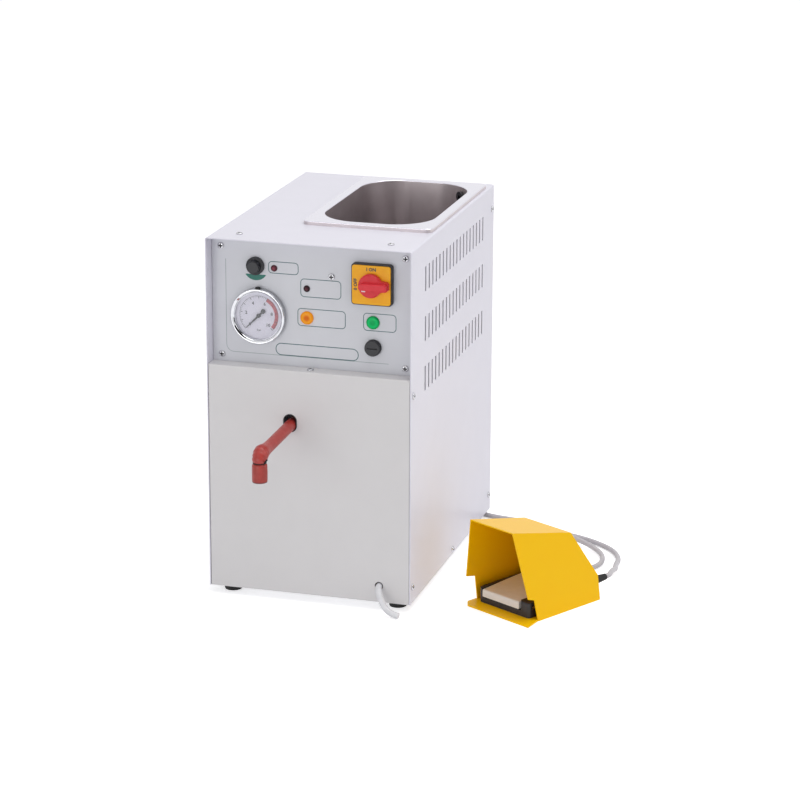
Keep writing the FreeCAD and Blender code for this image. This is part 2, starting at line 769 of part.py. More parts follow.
def nozzle_sleeve():
    """The thicker end sleeve pushed over the hose, open at the bottom."""
    end = steam_route()[3]
    profile = [(SLEEVE_RADIUS, 0), (TIP_RADIUS - 0.8, 0), (TIP_RADIUS, 1.4), (TIP_RADIUS, TIP_LENGTH - 2.5),
               (TIP_RADIUS - 1.2, TIP_LENGTH), (SLEEVE_RADIUS, TIP_LENGTH)]
    return turned(profile, Vector(end.x, end.y, end.z), Z_AXIS)


def wire_tie():
    """A twisted wire round the hose just above the end sleeve."""
    end = steam_route()[3]
    z = end.z + TIP_LENGTH + 0.1
    ring = turned([(SLEEVE_RADIUS, 0), (SLEEVE_RADIUS + TIE_WIRE, 0), (SLEEVE_RADIUS + TIE_WIRE, TIE_WIRE),
                   (SLEEVE_RADIUS, TIE_WIRE)], Vector(end.x, end.y, z), Z_AXIS)
    tail = box(end.x + SLEEVE_RADIUS + TIE_WIRE / 2, end.x + SLEEVE_RADIUS + 5.2, end.y - 0.9, end.y + 0.9,
               z, z + TIE_WIRE)
    return join([ring, tail])


def outlet_grommet():
    """The black rubber edging of the steam pipe's hole, gripping both faces of the sheet."""
    inner = SLEEVE_RADIUS + LOOSE
    lip = GROMMET_LIP
    body = obround_hole(STEAM_X, STEAM_Z, -lip, SHEET + lip, inner + GROMMET_WALL, SLOT_RISE)
    front = obround_hole(STEAM_X, STEAM_Z, -lip, 0, inner + GROMMET_WALL + lip, SLOT_RISE)
    back = obround_hole(STEAM_X, STEAM_Z, SHEET, SHEET + lip, inner + GROMMET_WALL + lip, SLOT_RISE)
    bore = obround_hole(STEAM_X, STEAM_Z, -2 * lip, SHEET + 2 * lip, inner, SLOT_RISE)
    return join([body, front, back]).cut(bore)


def boiler():
    """The lying pressure vessel with dished ends, hollow, on two saddles, with the valve's neck."""
    z = FLOOR_Z + BOILER_CLEAR + BOILER_RADIUS
    at = Vector(BOILER_X, BOILER_FRONT, z)
    bore = BOILER_RADIUS - BOILER_WALL
    shell = turned([(0, 0), (BOILER_RADIUS * 0.6, 0), (BOILER_RADIUS, BOILER_DISH),
                    (BOILER_RADIUS, BOILER_LENGTH - BOILER_DISH), (BOILER_RADIUS * 0.6, BOILER_LENGTH),
                    (0, BOILER_LENGTH)], at, Y_AXIS)
    hollow = rod(bore, at + Y_AXIS * BOILER_DISH, Y_AXIS, BOILER_LENGTH - 2 * BOILER_DISH)
    pieces = [shell]
    for y in (BOILER_FRONT + SADDLE_FRONT, BOILER_FRONT + BOILER_LENGTH - SADDLE_BACK):
        half = BOILER_RADIUS * 0.6
        pieces.append(box(BOILER_X - half, BOILER_X + half, y, y + SADDLE_THICK, FLOOR_Z + SHEET, z))
    neck_y = VALVE_FRONT + VALVE_SIZE + NECK_BACK
    pieces.append(rod(NECK_RADIUS, Vector(STEAM_X, neck_y, z), Z_AXIS, valve_height() - 8 - z))
    return join(pieces).cut(hollow)


def heater_flange():
    """The heating element's flange and its capped terminals at the boiler's back end."""
    z = FLOOR_Z + BOILER_CLEAR + BOILER_RADIUS
    y = BOILER_FRONT + BOILER_LENGTH
    pieces = [rod(BOILER_RADIUS * 0.5, Vector(BOILER_X, y, z), Y_AXIS, HEATER_PLATE)]
    for index in range(3):
        angle = math.radians(90 + 120 * index)
        at = Vector(BOILER_X + TERMINAL_CIRCLE * math.cos(angle), y + HEATER_PLATE - 1,
                    z + TERMINAL_CIRCLE * math.sin(angle))
        pieces.append(rod(TERMINAL_RADIUS, at, Y_AXIS, TERMINAL_LENGTH))
    return join(pieces)


def solenoid_valve():
    """The steam valve on the boiler's neck, with its coil on top and its outlet to the front."""
    z = valve_height()
    body = box(STEAM_X - VALVE_SIZE / 2, STEAM_X + VALVE_SIZE / 2, VALVE_FRONT,
               VALVE_FRONT + VALVE_SIZE + VALVE_TAIL, z - 12, z + 14)
    coil = box(STEAM_X - VALVE_SIZE * 0.42, STEAM_X + VALVE_SIZE * 0.42, VALVE_FRONT + 8,
               VALVE_FRONT + 8 + VALVE_SIZE * 0.9, z + 13, z + 13 + VALVE_SIZE * 0.85)
    neck_y = VALVE_FRONT + VALVE_SIZE + NECK_BACK
    neck = rod(NECK_RADIUS + RUN_FIT, Vector(STEAM_X, neck_y, z - 13), Z_AXIS, 5)
    return join([body, coil]).cut(neck)


def pump():
    """The feed pump on its bracket, beside the boiler."""
    z = FLOOR_Z + SHEET + PUMP_RADIUS + 10
    motor = rod(PUMP_RADIUS, Vector(PUMP_X, PUMP_FRONT, z), Y_AXIS, PUMP_LENGTH * 0.7)
    head = rod(PUMP_RADIUS * 0.62, Vector(PUMP_X, PUMP_FRONT + PUMP_LENGTH * 0.7 - 1, z), Y_AXIS,
               PUMP_LENGTH * 0.3)
    stand = box(PUMP_X - PUMP_RADIUS * 0.7, PUMP_X + PUMP_RADIUS * 0.7, PUMP_FRONT + 12,
                PUMP_FRONT + PUMP_LENGTH * 0.6, FLOOR_Z + SHEET, z)
    return join([motor, head, stand])


def drain_block():
    """The drain cock's block behind the front panel, with the spigot that the hose is pushed on."""
    half = DRAIN_BLOCK / 2
    body = box(DRAIN_X - half, DRAIN_X + half, DRAIN_BACK, DRAIN_BACK + DRAIN_BLOCK, FLOOR_Z + SHEET,
               DRAIN_Z + half)
    spigot = rod(HOSE_BORE, Vector(DRAIN_X, DRAIN_BACK + 2, DRAIN_Z), FRONT, SPIGOT_LENGTH + 2)
    return join([body, spigot])


def hose_route():
    """The drain hose's centre line, from the block down to the floor before the cabinet."""
    points = [Vector(DRAIN_X, DRAIN_BACK, DRAIN_Z), Vector(DRAIN_X, DRAIN_BACK * 0.45, DRAIN_Z)]
    for x, y, z in HOSE_POINTS:
        points.append(Vector(x, y, z))
    points.append(Vector(*HOSE_END))
    return points


def drain_hose():
    """The short drain hose, its bore drawn where the spigot goes in and at its open end."""
    path, radii = rounded_route(hose_route())
    print("drain hose radii", [round(radius, 1) for radius in radii])
    outer = tube_along(path, HOSE_RADIUS)
    check_tube("drain hose", outer, path, HOSE_RADIUS)
    last = path.Edges[-1]
    back = last.tangentAt(last.LastParameter) * -1
    seat = rod(HOSE_BORE, Vector(DRAIN_X, DRAIN_BACK, DRAIN_Z), FRONT, SPIGOT_LENGTH)
    mouth = rod(HOSE_BORE, last.valueAt(last.LastParameter), back, last.Length)
    return cut_all(outer, [seat, mouth])


def check_tube(name, solid, path, radius):
    """Print how near a tube's volume is to its section times its length."""
    wanted = math.pi * radius ** 2 * path.Length
    print(name, "length", round(path.Length, 1), "volume ratio", round(solid.Volume / wanted, 4))


def gauge_case():
    """The pressure gauge's case in its hole, with the dial's seat and the brass stem behind."""
    at = Vector(GAUGE_X, PANEL_Y, GAUGE_Z)
    wall = 1.5
    front = GAUGE_PROUD - 3.0
    profile = [(0, front - 5.0), (GAUGE_CASE_RADIUS - wall, front - 5.0), (GAUGE_CASE_RADIUS - wall, front),
               (GAUGE_CASE_RADIUS, front), (GAUGE_CASE_RADIUS, -GAUGE_CASE_DEPTH),
               (6.0, -GAUGE_CASE_DEPTH), (6.0, -GAUGE_CASE_DEPTH - 14), (0, -GAUGE_CASE_DEPTH - 14)]
    return turned(profile, at, FRONT)


def gauge_bezel():
    """The chrome bezel ring against the panel, rolled round the front of the case."""
    at = Vector(GAUGE_X, PANEL_Y, GAUGE_Z)
    inner = GAUGE_CASE_RADIUS + 0.1
    front = GAUGE_PROUD
    profile = [(inner, 0.1), (GAUGE_RADIUS, 0.1), (GAUGE_RADIUS, front - 2.4), (GAUGE_RADIUS - 2.2, front),
               (GAUGE_DIAL_RADIUS, front - 1.6), (GAUGE_DIAL_RADIUS, front - 2.9), (inner, front - 2.9)]
    ring = turned(profile, at, FRONT)
    return ring.cut(plug_hole())


def plug_hole():
    """The filling hole on top of the bezel."""
    return rod(2.6, Vector(GAUGE_X, PANEL_Y - GAUGE_PROUD / 2, GAUGE_Z + GAUGE_RADIUS - 1.5), Z_AXIS, 4)


def gauge_plug():
    """The black rubber plug in the filling hole."""
    y = PANEL_Y - GAUGE_PROUD / 2
    profile = [(0, 0), (2.6, 0), (2.6, 1.6), (3.3, 1.6), (3.0, 3.0), (0, 3.0)]
    return turned(profile, Vector(GAUGE_X, y, GAUGE_Z + GAUGE_RADIUS - 1.5), Z_AXIS)


def gauge_dial():
    """The thin white dial on its seat in the case."""
    seat = PANEL_Y - (GAUGE_PROUD - 8.0)
    disc = rod(GAUGE_CASE_RADIUS - 1.6, Vector(GAUGE_X, seat, GAUGE_Z), FRONT, 0.5)
    return disc


def gauge_glass():
    """The clear window, held by the bezel on the case's rim."""
    y = PANEL_Y - (GAUGE_PROUD - 4.2)
    return rod(GAUGE_CASE_RADIUS - 1.6, Vector(GAUGE_X, y, GAUGE_Z), FRONT, 1.2)


def gauge_spindle():
    """The pin through the dial that carries the needle."""
    seat = PANEL_Y - (GAUGE_PROUD - 8.0)
    return rod(0.8, Vector(GAUGE_X, seat, GAUGE_Z), FRONT, 3.4)


def gauge_needle():
    """The black needle with its round counterweight, at rest on zero."""
    y0 = PANEL_Y - (GAUGE_PROUD - 8.0) - 2.4
    thick = 0.7
    points = []
    for x, z in ((-0.8, NEEDLE_TAIL), (-1.3, 0), (-0.4, -NEEDLE_REACH), (0.4, -NEEDLE_REACH), (1.3, 0),
                 (0.8, NEEDLE_TAIL)):
        points.append(Vector(x, 0, z))
    blade = polygon_prism(points, Y_AXIS * thick)
    weight = rod(NEEDLE_WEIGHT, Vector(0, 0, NEEDLE_TAIL), Y_AXIS, thick)
    hub = rod(NEEDLE_HUB, Vector(0, 0, 0), Y_AXIS, thick + 0.2)
    needle = join([blade, weight, hub]).cut(rod(0.8 + RUN_FIT, Vector(0, -1, 0), Y_AXIS, 4))
    needle.rotate(Vector(0, 0, 0), Y_AXIS, 45)
    needle.translate(Vector(GAUGE_X, y0, GAUGE_Z))
    return needle


def regulator():
    """The knob's rotary control behind the panel, with its shaft, nut and body."""
    at = Vector(KNOB_X, PANEL_Y, KNOB_Z)
    shaft = rod(3.0, at + FRONT * 0, FRONT, KNOB_HEIGHT - 3)
    neck = rod(4.0, at, Y_AXIS, SHEET + 1)
    body = rod(8.0, at + Y_AXIS * (SHEET + 0.2), Y_AXIS, 12)
    nut = rod(5.5, at, FRONT, 2.0)
    return join([shaft, neck, body, nut])


def regulator_knob():
    """The black knob: a wide skirt and a narrower fluted grip with a pointer."""
    at = Vector(KNOB_X, PANEL_Y, KNOB_Z)
    skirt = KNOB_HEIGHT * 0.3
    profile = [(0, 0.4), (KNOB_RADIUS, 0.4), (KNOB_RADIUS, skirt), (KNOB_RADIUS * 0.76, skirt + 1.0),
               (KNOB_RADIUS * 0.70, KNOB_HEIGHT - 0.8), (KNOB_RADIUS * 0.62, KNOB_HEIGHT), (0, KNOB_HEIGHT)]
    knob = turned(profile, at, FRONT)
    tools = [rod(3.0 + RUN_FIT, at, FRONT, KNOB_HEIGHT - 2.8), rod(6.0, at, FRONT, 2.4)]
    for index in range(KNOB_FLUTES):
        angle = 2 * math.pi * (index + 0.5) / KNOB_FLUTES
        reach = KNOB_RADIUS * 0.76 + 0.5
        at_groove = at + Vector(reach * math.cos(angle), 0, reach * math.sin(angle))
        tools.append(rod(1.2, at_groove + FRONT * (skirt + 1.2), FRONT, KNOB_HEIGHT))
    return cut_all(knob, tools)


def lamp(x, z):
    """An indicator: a domed lens on a round body that passes through the panel."""
    at = Vector(x, PANEL_Y, z)
    barrel = LAMP_RADIUS - 1.8
    profile = [(0, -LAMP_DEPTH), (barrel, -LAMP_DEPTH), (barrel, 0), (LAMP_RADIUS, 0),
               (LAMP_RADIUS, LAMP_PROUD * 0.55), (LAMP_RADIUS * 0.8, LAMP_PROUD * 0.9),
               (LAMP_RADIUS * 0.4, LAMP_PROUD), (0, LAMP_PROUD)]
    return turned(profile, at, FRONT)


def led(x, z):
    """A small round diode in its clip, with its legs' holder behind."""
    at = Vector(x, PANEL_Y, z)
    barrel = LED_RADIUS - 0.2
    profile = [(0, -7.0), (barrel, -7.0), (barrel, 0), (LED_RADIUS + 0.8, 0), (LED_RADIUS + 0.8, 0.8),
               (barrel, 1.0), (LED_RADIUS - 0.5, 2.2), (1.2, 3.0), (0, 3.0)]
    return turned(profile, at, FRONT)


def fuse_holder():
    """The fuse holder's black barrel through the panel, open to the front."""
    at = Vector(FUSE_X, PANEL_Y, FUSE_Z)
    inner = FUSE_RADIUS - 3.4
    outer = FUSE_RADIUS - 2.4
    seat = FUSE_LENGTH + 6
    profile = [(inner, FUSE_PROUD * 0.45), (FUSE_RADIUS, FUSE_PROUD * 0.45), (FUSE_RADIUS, 0), (outer, 0),
               (outer, -seat - 2), (0, -seat - 2), (0, -seat), (inner, -seat)]
    return turned(profile, at, FRONT)


def fuse_cap():
    """The cap that holds the fuse, with a screwdriver slot across its face."""
    at = Vector(FUSE_X, PANEL_Y, FUSE_Z)
    low = FUSE_PROUD * 0.45 + 0.2
    neck = FUSE_RADIUS - 3.4 - 0.3
    profile = [(FUSE_TUBE + 0.1, -8), (neck, -8), (neck, low), (FUSE_RADIUS - 0.4, low),
               (FUSE_RADIUS - 0.4, FUSE_PROUD - 0.6), (FUSE_RADIUS - 1.2, FUSE_PROUD), (0, FUSE_PROUD),
               (0, 0.5), (FUSE_TUBE + 0.1, 0.5)]
    cap = turned(profile, at, FRONT)
    slot = box(FUSE_X - FUSE_RADIUS * 0.62, FUSE_X + FUSE_RADIUS * 0.62, PANEL_Y - FUSE_PROUD - 1,
               PANEL_Y - FUSE_PROUD + 1.6, FUSE_Z - 0.9, FUSE_Z + 0.9)
    return cap.cut(slot)


def fuse_cartridge():
    """The glass fuse with its two metal end caps, held in the cap."""
    return rod(FUSE_TUBE, Vector(FUSE_X, PANEL_Y + 0.2, FUSE_Z), Y_AXIS, FUSE_LENGTH)


def switch_body():
    """The main switch's black base on the panel and its contact block behind."""
    front = PANEL_Y - SWITCH_BASE_THICK
    base = upright_block(SWITCH_X, SWITCH_Z, front, PANEL_Y, SWITCH_SIZE, SWITCH_SIZE, 4)
    block = upright_block(SWITCH_X, SWITCH_Z, PANEL_Y - 1, PANEL_Y + SWITCH_BLOCK_DEPTH, SWITCH_BLOCK,
                          SWITCH_BLOCK, 2)
    spindle = rod(4.0, Vector(SWITCH_X, PANEL_Y - SWITCH_BASE_THICK + 1, SWITCH_Z), FRONT,
                  SWITCH_PLATE_THICK + 6)
    return join([base, block, spindle])


def switch_plate():
    """The yellow legend plate on the switch's base."""
    y0 = PANEL_Y - SWITCH_BASE_THICK - SWITCH_PLATE_THICK
    plate = upright_block(SWITCH_X, SWITCH_Z, y0, PANEL_Y - SWITCH_BASE_THICK, SWITCH_PLATE_SIZE,
                          SWITCH_PLATE_SIZE, 3)
    return plate.cut(rod(4.3, Vector(SWITCH_X, y0 - 1, SWITCH_Z), Y_AXIS, SWITCH_PLATE_THICK + 2))


def switch_handle():
    """The red handle, off: a thick round boss with a tapering lobe, and a narrow grip along it."""
    face = PANEL_Y - SWITCH_BASE_THICK - SWITCH_PLATE_THICK - 0.4
    at = Vector(SWITCH_X, face, SWITCH_Z)
    low = HANDLE_HEIGHT * 0.5
    boss = turned([(0, 0), (HANDLE_RADIUS, 0), (HANDLE_RADIUS, low - 1.5), (HANDLE_RADIUS - 1.5, low),
                   (0, low)], at, FRONT)
    neck = HANDLE_RADIUS * 0.75
    lobe = handle_bar([(-1, neck), (neck, HANDLE_END + 1.5), (HANDLE_REACH - 2, HANDLE_END),
                       (HANDLE_REACH, HANDLE_END - 2)], face, low)
    grip = handle_bar([(-HANDLE_RADIUS + 2, 2.5), (-HANDLE_RADIUS + 5, 4.0),
                       (HANDLE_REACH - 3, HANDLE_END - 0.8), (HANDLE_REACH - 1, HANDLE_END - 3)],
                      face, HANDLE_HEIGHT)
    tops = edges_at(grip, lambda middle: abs(middle.y - face + HANDLE_HEIGHT) < 1e-6)
    grip = grip.makeFillet(1.2, tops)
    return join([boss, lobe, grip]).cut(rod(4.0 + RUN_FIT, at + Y_AXIS, FRONT, 7.6))


def handle_bar(upper, face, height):
    """A bar on the handle's plate side: its upper edge as (across, up) pairs, mirrored below."""
    points = []
    for x, z in upper:
        points.append(Vector(SWITCH_X + x, face, SWITCH_Z + z))
    for x, z in reversed(upper):
        points.append(Vector(SWITCH_X + x, face, SWITCH_Z - z))
    return polygon_prism(points, FRONT * height)


def gland(x, z, bore, deep):
    """A cable gland on the rear panel: a hexagon nut, a domed cap and the inner locknut."""
    points = []
    for index in range(6):
        angle = math.radians(60 * index)
        points.append(Vector(x + GLAND_RADIUS * math.cos(angle), DEPTH, z + GLAND_RADIUS * math.sin(angle)))
    flats = polygon_prism(points, Y_AXIS * (GLAND_LENGTH * 0.45))
    cap = turned([(0, 0), (GLAND_RADIUS * 0.84, 0), (GLAND_RADIUS * 0.84, GLAND_LENGTH * 0.75),
                  (GLAND_RADIUS * 0.6, GLAND_LENGTH), (0, GLAND_LENGTH)], Vector(x, DEPTH, z), Y_AXIS)
    neck = rod(GLAND_RADIUS - 3, Vector(x, DEPTH - 9, z), Y_AXIS, 9)
    locknut = rod(GLAND_RADIUS - 0.6, Vector(x, DEPTH - SHEET - 4, z), Y_AXIS, 4)
    hole = rod(bore, Vector(x, DEPTH - 10 + deep, z), Y_AXIS, GLAND_LENGTH + 20)
    return join([flats, cap, neck, locknut]).cut(hole)


def panel_screws():
    """The control panel's screws and the ledge's."""
    solids = []
    for at, inward in panel_screw_places() + [ledge_screw_place()]:
        solids.append(screw(at, inward))
    return Part.makeCompound(solids)


def cover_screws():
    """The screws in the cover's sides and top."""
    solids = []
    for at, inward in cover_screw_places():
        solids.append(screw(at, inward))
    return Part.makeCompound(solids)


def pedal_placement():
    """The pedal's own frame, turned to stand beside the cabinet."""
    return FreeCAD.Placement(Vector(PEDAL_AT_X, PEDAL_AT_Y, 0), FreeCAD.Rotation(Z_AXIS, PEDAL_TURN))


def on_pedal(shape):
    """A piece drawn in the pedal's frame, set into place."""
    shape.Placement = pedal_placement().multiply(shape.Placement)
    return shape


def offset_corner(before, corner, after, inset):
    """The corner of an outline moved in by the inset on both of its sides, in the YZ plane."""
    first = corner - before
    second = after - corner
    first.normalize()
    second.normalize()
    normal_a = Vector(0, first.z, -first.y)
    normal_b = Vector(0, second.z, -second.y)
    middle = normal_a + normal_b
    return corner + middle * (inset / (1 + normal_a.dot(normal_b)))


def guard_profile():
    """The guard's side outline before its mouth is cut: front, brow, crest, knee and heel."""
    return [Vector(0, GUARD_BROW, 0), Vector(0, GUARD_BROW, GUARD_HEIGHT),
            Vector(0, GUARD_CREST, GUARD_CREST_HEIGHT), Vector(0, GUARD_REAR, GUARD_KNEE_HEIGHT),
            Vector(0, GUARD_REAR, 0)]


def wall_front(notch_height, low, high):
    """The front edge of one side wall, from the floor up: lower edge, notch and upper edge."""
    return [Vector(0, GUARD_MOUTH, 0), Vector(0, low, notch_height),
            Vector(0, high, notch_height + NOTCH_SLANT), Vector(0, GUARD_BROW, GUARD_HEIGHT)]


def front_at_plate(front):
    """How far back a wall's front edge stands at the floor plate's top."""
    share = PLATE_THICK / front[1].z
    return front[0].y + (front[1].y - front[0].y) * share


def left_front():
    """The left wall's front edge."""
    return wall_front(LEFT_NOTCH_HEIGHT, LEFT_NOTCH_LOW, LEFT_NOTCH_HIGH)


def right_front():
    """The right wall's front edge, whose notch is lower and less deep."""
    return wall_front(RIGHT_NOTCH_HEIGHT, RIGHT_NOTCH_LOW, RIGHT_NOTCH_HIGH)


def guard_span():
    """The distance that the guard's cutting forms run across it."""
    return 2 * (GUARD_RIGHT - GUARD_LEFT)


def guard_wedge(inset, top):
    """The space between the guard's leaning side walls, drawn in by the inset."""
    slope = GUARD_LEAN / GUARD_HEIGHT
    left = GUARD_LEFT + inset
    right = GUARD_RIGHT - inset
    low = -FLOOR_Z
    points = [Vector(left + slope * low, -GUARD_REAR, low), Vector(right - slope * low, -GUARD_REAR, low),
              Vector(right - slope * top, -GUARD_REAR, top), Vector(left + slope * top, -GUARD_REAR, top)]
    return polygon_prism(points, Y_AXIS * (3 * GUARD_REAR))


def guard_prism(outline, start, span):
    """A prism across the guard on an outline in the YZ plane."""
    points = []
    for point in outline:
        points.append(point + X_AXIS * start)
    return polygon_prism(points, X_AXIS * span)


def guard_hood():
    """The yellow sheet hood: two leaning sides, the roof, the back slope and the heel."""
    outline = guard_profile()
    middle = (GUARD_LEFT + GUARD_RIGHT) / 2
    start = middle - guard_span() / 2
    outer = guard_prism(outline, start, guard_span()).common(guard_wedge(0, GUARD_HEIGHT + 20))
    brow = outline[1]
    crest = outline[2]
    knee = outline[3]
    slope = (crest.z - brow.z) / (crest.y - brow.y)
    far_front = Vector(0, brow.y - 60, brow.z - 60 * slope)
    inner_crest = offset_corner(far_front, crest, knee, GUARD_SHEET)
    inner_knee = offset_corner(crest, knee, Vector(0, GUARD_REAR, -10), GUARD_SHEET)
    front_top = Vector(0, far_front.y, inner_crest.z + (far_front.y - inner_crest.y) * slope)
    hollow = [Vector(0, far_front.y, -10), front_top, inner_crest, inner_knee, Vector(0, inner_knee.y, -10)]
    inner = guard_prism(hollow, start, guard_span()).common(guard_wedge(GUARD_SHEET, GUARD_HEIGHT + 20))
    tools = [inner, rod(RELIEF_RADIUS, Vector(RELIEF_X, GUARD_REAR - 10, RELIEF_Z), Y_AXIS, 20)]
    for front, begin in ((left_front(), start), (right_front(), middle)):
        before = [Vector(0, front[0].y, -1)] + front
        before.append(Vector(0, brow.y - 1, brow.z))
        before.append(Vector(0, brow.y - 1, -1))
        tools.append(guard_prism(before, begin, guard_span() / 2))
    return cut_all(outer, tools)


def guard_plate():
    """The yellow floor plate, flared before the mouth, its corner cut off on the left."""
    left = GUARD_LEFT + GUARD_SHEET + GUARD_LEAN / GUARD_HEIGHT * PLATE_THICK
    right = GUARD_RIGHT - GUARD_SHEET - GUARD_LEAN / GUARD_HEIGHT * PLATE_THICK
    mouth = min(front_at_plate(left_front()), front_at_plate(right_front())) - 0.1
    points = [Vector(GUARD_LEFT, PLATE_FRONT_CORNER, 0), Vector(GUARD_LEFT + PLATE_FRONT_CORNER, 0, 0),
              Vector(GUARD_RIGHT + PLATE_FLARE, 0, 0), Vector(GUARD_RIGHT, mouth, 0), Vector(right, mouth, 0),
              Vector(right, GUARD_REAR - GUARD_SHEET, 0), Vector(left, GUARD_REAR - GUARD_SHEET, 0),
              Vector(left, mouth, 0), Vector(GUARD_LEFT, mouth, 0)]
    plate = polygon_prism(points, Vector(0, 0, PLATE_THICK))
    tools = []
    for at in guard_screw_places():
        tools.append(rod(SCREW_SHANK, Vector(at.x, at.y, -1), Z_AXIS, PLATE_THICK + 2))
    return cut_all(plate, tools)


def treadle_sides():
    """The inner faces of the base's two cheeks, between which the treadle moves."""
    return BASE_LEFT + LEFT_CHEEK, BASE_LEFT + BASE_WIDTH - RIGHT_CHEEK


def treadle_middle():
    """The middle of the treadle's width, where the spring and the plunger stand."""
    left, right = treadle_sides()
    return (left + right) / 2


def guard_screw_places():
    """Where the base's floor is screwed down to the floor plate, below the treadle."""
    left, right = treadle_sides()
    places = []
    for x in (left + BASE_SCREW_IN, right - BASE_SCREW_IN):
        places.append(Vector(x, BASE_FRONT + 0.62 * BASE_LENGTH, PLATE_THICK + BASE_FLOOR))
    return places


def pedal_base():
    """The black base: floor, front lip, a thin and a thick cheek, and the switch housing behind."""
    z0 = PLATE_THICK
    right = BASE_LEFT + BASE_WIDTH
    back = BASE_FRONT + BASE_LENGTH
    cheek_top = z0 + CHEEK_HEIGHT
    housing_top = cheek_top + HOUSING_RISE
    inner_left, inner_right = treadle_sides()
    floor = box(BASE_LEFT, right, BASE_FRONT, back, z0, z0 + BASE_FLOOR)
    lip = box(BASE_LEFT, right, BASE_FRONT, BASE_FRONT + 2.5, z0, z0 + LIP_HEIGHT)
    thin = box(BASE_LEFT, inner_left, BASE_FRONT, back, z0, cheek_top)
    thick = box(inner_right, right, BASE_FRONT, back, z0, cheek_top)
    corner = edges_at(thick, lambda at: abs(at.x - inner_right) + abs(at.y - BASE_FRONT) < 1e-6)
    thick = thick.makeChamfer(CHEEK_CHAMFER, corner)
    pieces = [floor, lip]
    for cheek in (thin, thick):
        fronts = edges_at(cheek, lambda at: abs(at.y - BASE_FRONT) + abs(at.z - cheek_top) < 1e-6)
        pieces.append(cheek.makeFillet(3.0, fronts))
    housing = box(BASE_LEFT, right, back - HOUSING_LENGTH, back, z0, housing_top)
    tops = edges_at(housing, lambda at: abs(at.z - housing_top) < 1e-6 and abs(at.y - back) > 1e-6)
    pieces.append(housing.makeFillet(2.0, tops))
    outline = rounded_outline(BASE_LEFT + BASE_WIDTH / 2, BASE_FRONT + BASE_LENGTH / 2, z0, BASE_WIDTH,
                              BASE_LENGTH, BASE_CORNER)
    base = join(pieces).common(Part.Face(outline).extrude(Z_AXIS * (housing_top - z0)))
    pin_y, pin_z = pivot_place()
    tools = [rod(PIVOT_RADIUS, Vector(BASE_LEFT - 1, pin_y, pin_z), X_AXIS, BASE_WIDTH + 2)]
    tools.append(rod(RELIEF_RADIUS - 1.5, Vector(RELIEF_X, back - 5, RELIEF_Z), Y_AXIS, 10))
    tools.append(rod(PLUNGER_RADIUS + RUN_FIT, Vector(treadle_middle(), pin_y + PLUNGER_BACK, z0 + 0.5),
                     Z_AXIS, 20))
    for at in guard_screw_places():
        tools.append(rod(SCREW_SHANK, at - Z_AXIS * 10, Z_AXIS, 20))
    return cut_all(base, tools)


def pivot_place():
    """The treadle's pivot line, near its front edge."""
    return BASE_FRONT + PIVOT_BACK, PLATE_THICK + LIP_HEIGHT + TREADLE_THICK * 0.55


def treadle():
    """The light grey treadle between the cheeks, rising to the back, with a pivot bore."""
    left, right = treadle_sides()
    x0 = left + TREADLE_GAP
    width = right - left - 2 * TREADLE_GAP
    y0 = BASE_FRONT + 0.3
    y1 = BASE_FRONT + BASE_LENGTH - HOUSING_LENGTH - 2.5
    z0 = PLATE_THICK + LIP_HEIGHT + 0.5
    top = z0 + TREADLE_THICK
    points = [Vector(x0, y0, z0), Vector(x0, y0, top - 1.2), Vector(x0, y0 + 1.2, top),
              Vector(x0, y1, top + TREADLE_RISE), Vector(x0, y1, z0 + TREADLE_RISE)]
    slab = polygon_prism(points, Vector(width, 0, 0))
    pin_y, pin_z = pivot_place()
    return slab.cut(rod(PIVOT_RADIUS + RUN_FIT, Vector(x0 - 1, pin_y, pin_z), X_AXIS, width + 2))


def pivot_pin():
    """The steel pin through both cheeks and the treadle."""
    pin_y, pin_z = pivot_place()
    return rod(PIVOT_RADIUS, Vector(BASE_LEFT + 0.5, pin_y, pin_z), X_AXIS, BASE_WIDTH - 1)


def treadle_underside(back):
    """The height of the treadle's underside, this far behind the pivot."""
    y0 = BASE_FRONT + 0.3
    y1 = BASE_FRONT + BASE_LENGTH - HOUSING_LENGTH - 2.5
    pin_y = pivot_place()[0]
    share = (pin_y + back - y0) / (y1 - y0)
    return PLATE_THICK + LIP_HEIGHT + 0.5 + TREADLE_RISE * share


def switch_plunger():
    """The small plunger of the pedal's switch, just below the treadle."""
    pin_y = pivot_place()[0]
    top = treadle_underside(PLUNGER_BACK - PLUNGER_RADIUS) - 0.5
    at = Vector(treadle_middle(), pin_y + PLUNGER_BACK, 0)
    low = PLATE_THICK + BASE_FLOOR + 0.2
    return rod(PLUNGER_RADIUS, Vector(at.x, at.y, low), Z_AXIS, top - low)


def return_spring():
    """The bent leaf of spring steel that lifts the treadle, its foot on the base's floor."""
    front = pivot_place()[0] + SPRING_BACK
    back = front + SPRING_LENGTH
    low = PLATE_THICK + BASE_FLOOR
    high = treadle_underside(SPRING_BACK) - 0.3
    leaf = SPRING_LEAF
    outline = [(front, low), (back, low), (back + 1.2, low + 1.0), (front + 2.0, high), (front - 0.5, high),
               (front - 0.5, high - leaf), (front + 1.8, high - leaf), (back - 0.6, low + 0.9),
               (back - 0.9, low + leaf), (front, low + leaf)]
    points = []
    for y, z in outline:
        points.append(Vector(treadle_middle() - SPRING_WIDTH / 2, y, z))
    return polygon_prism(points, X_AXIS * SPRING_WIDTH)


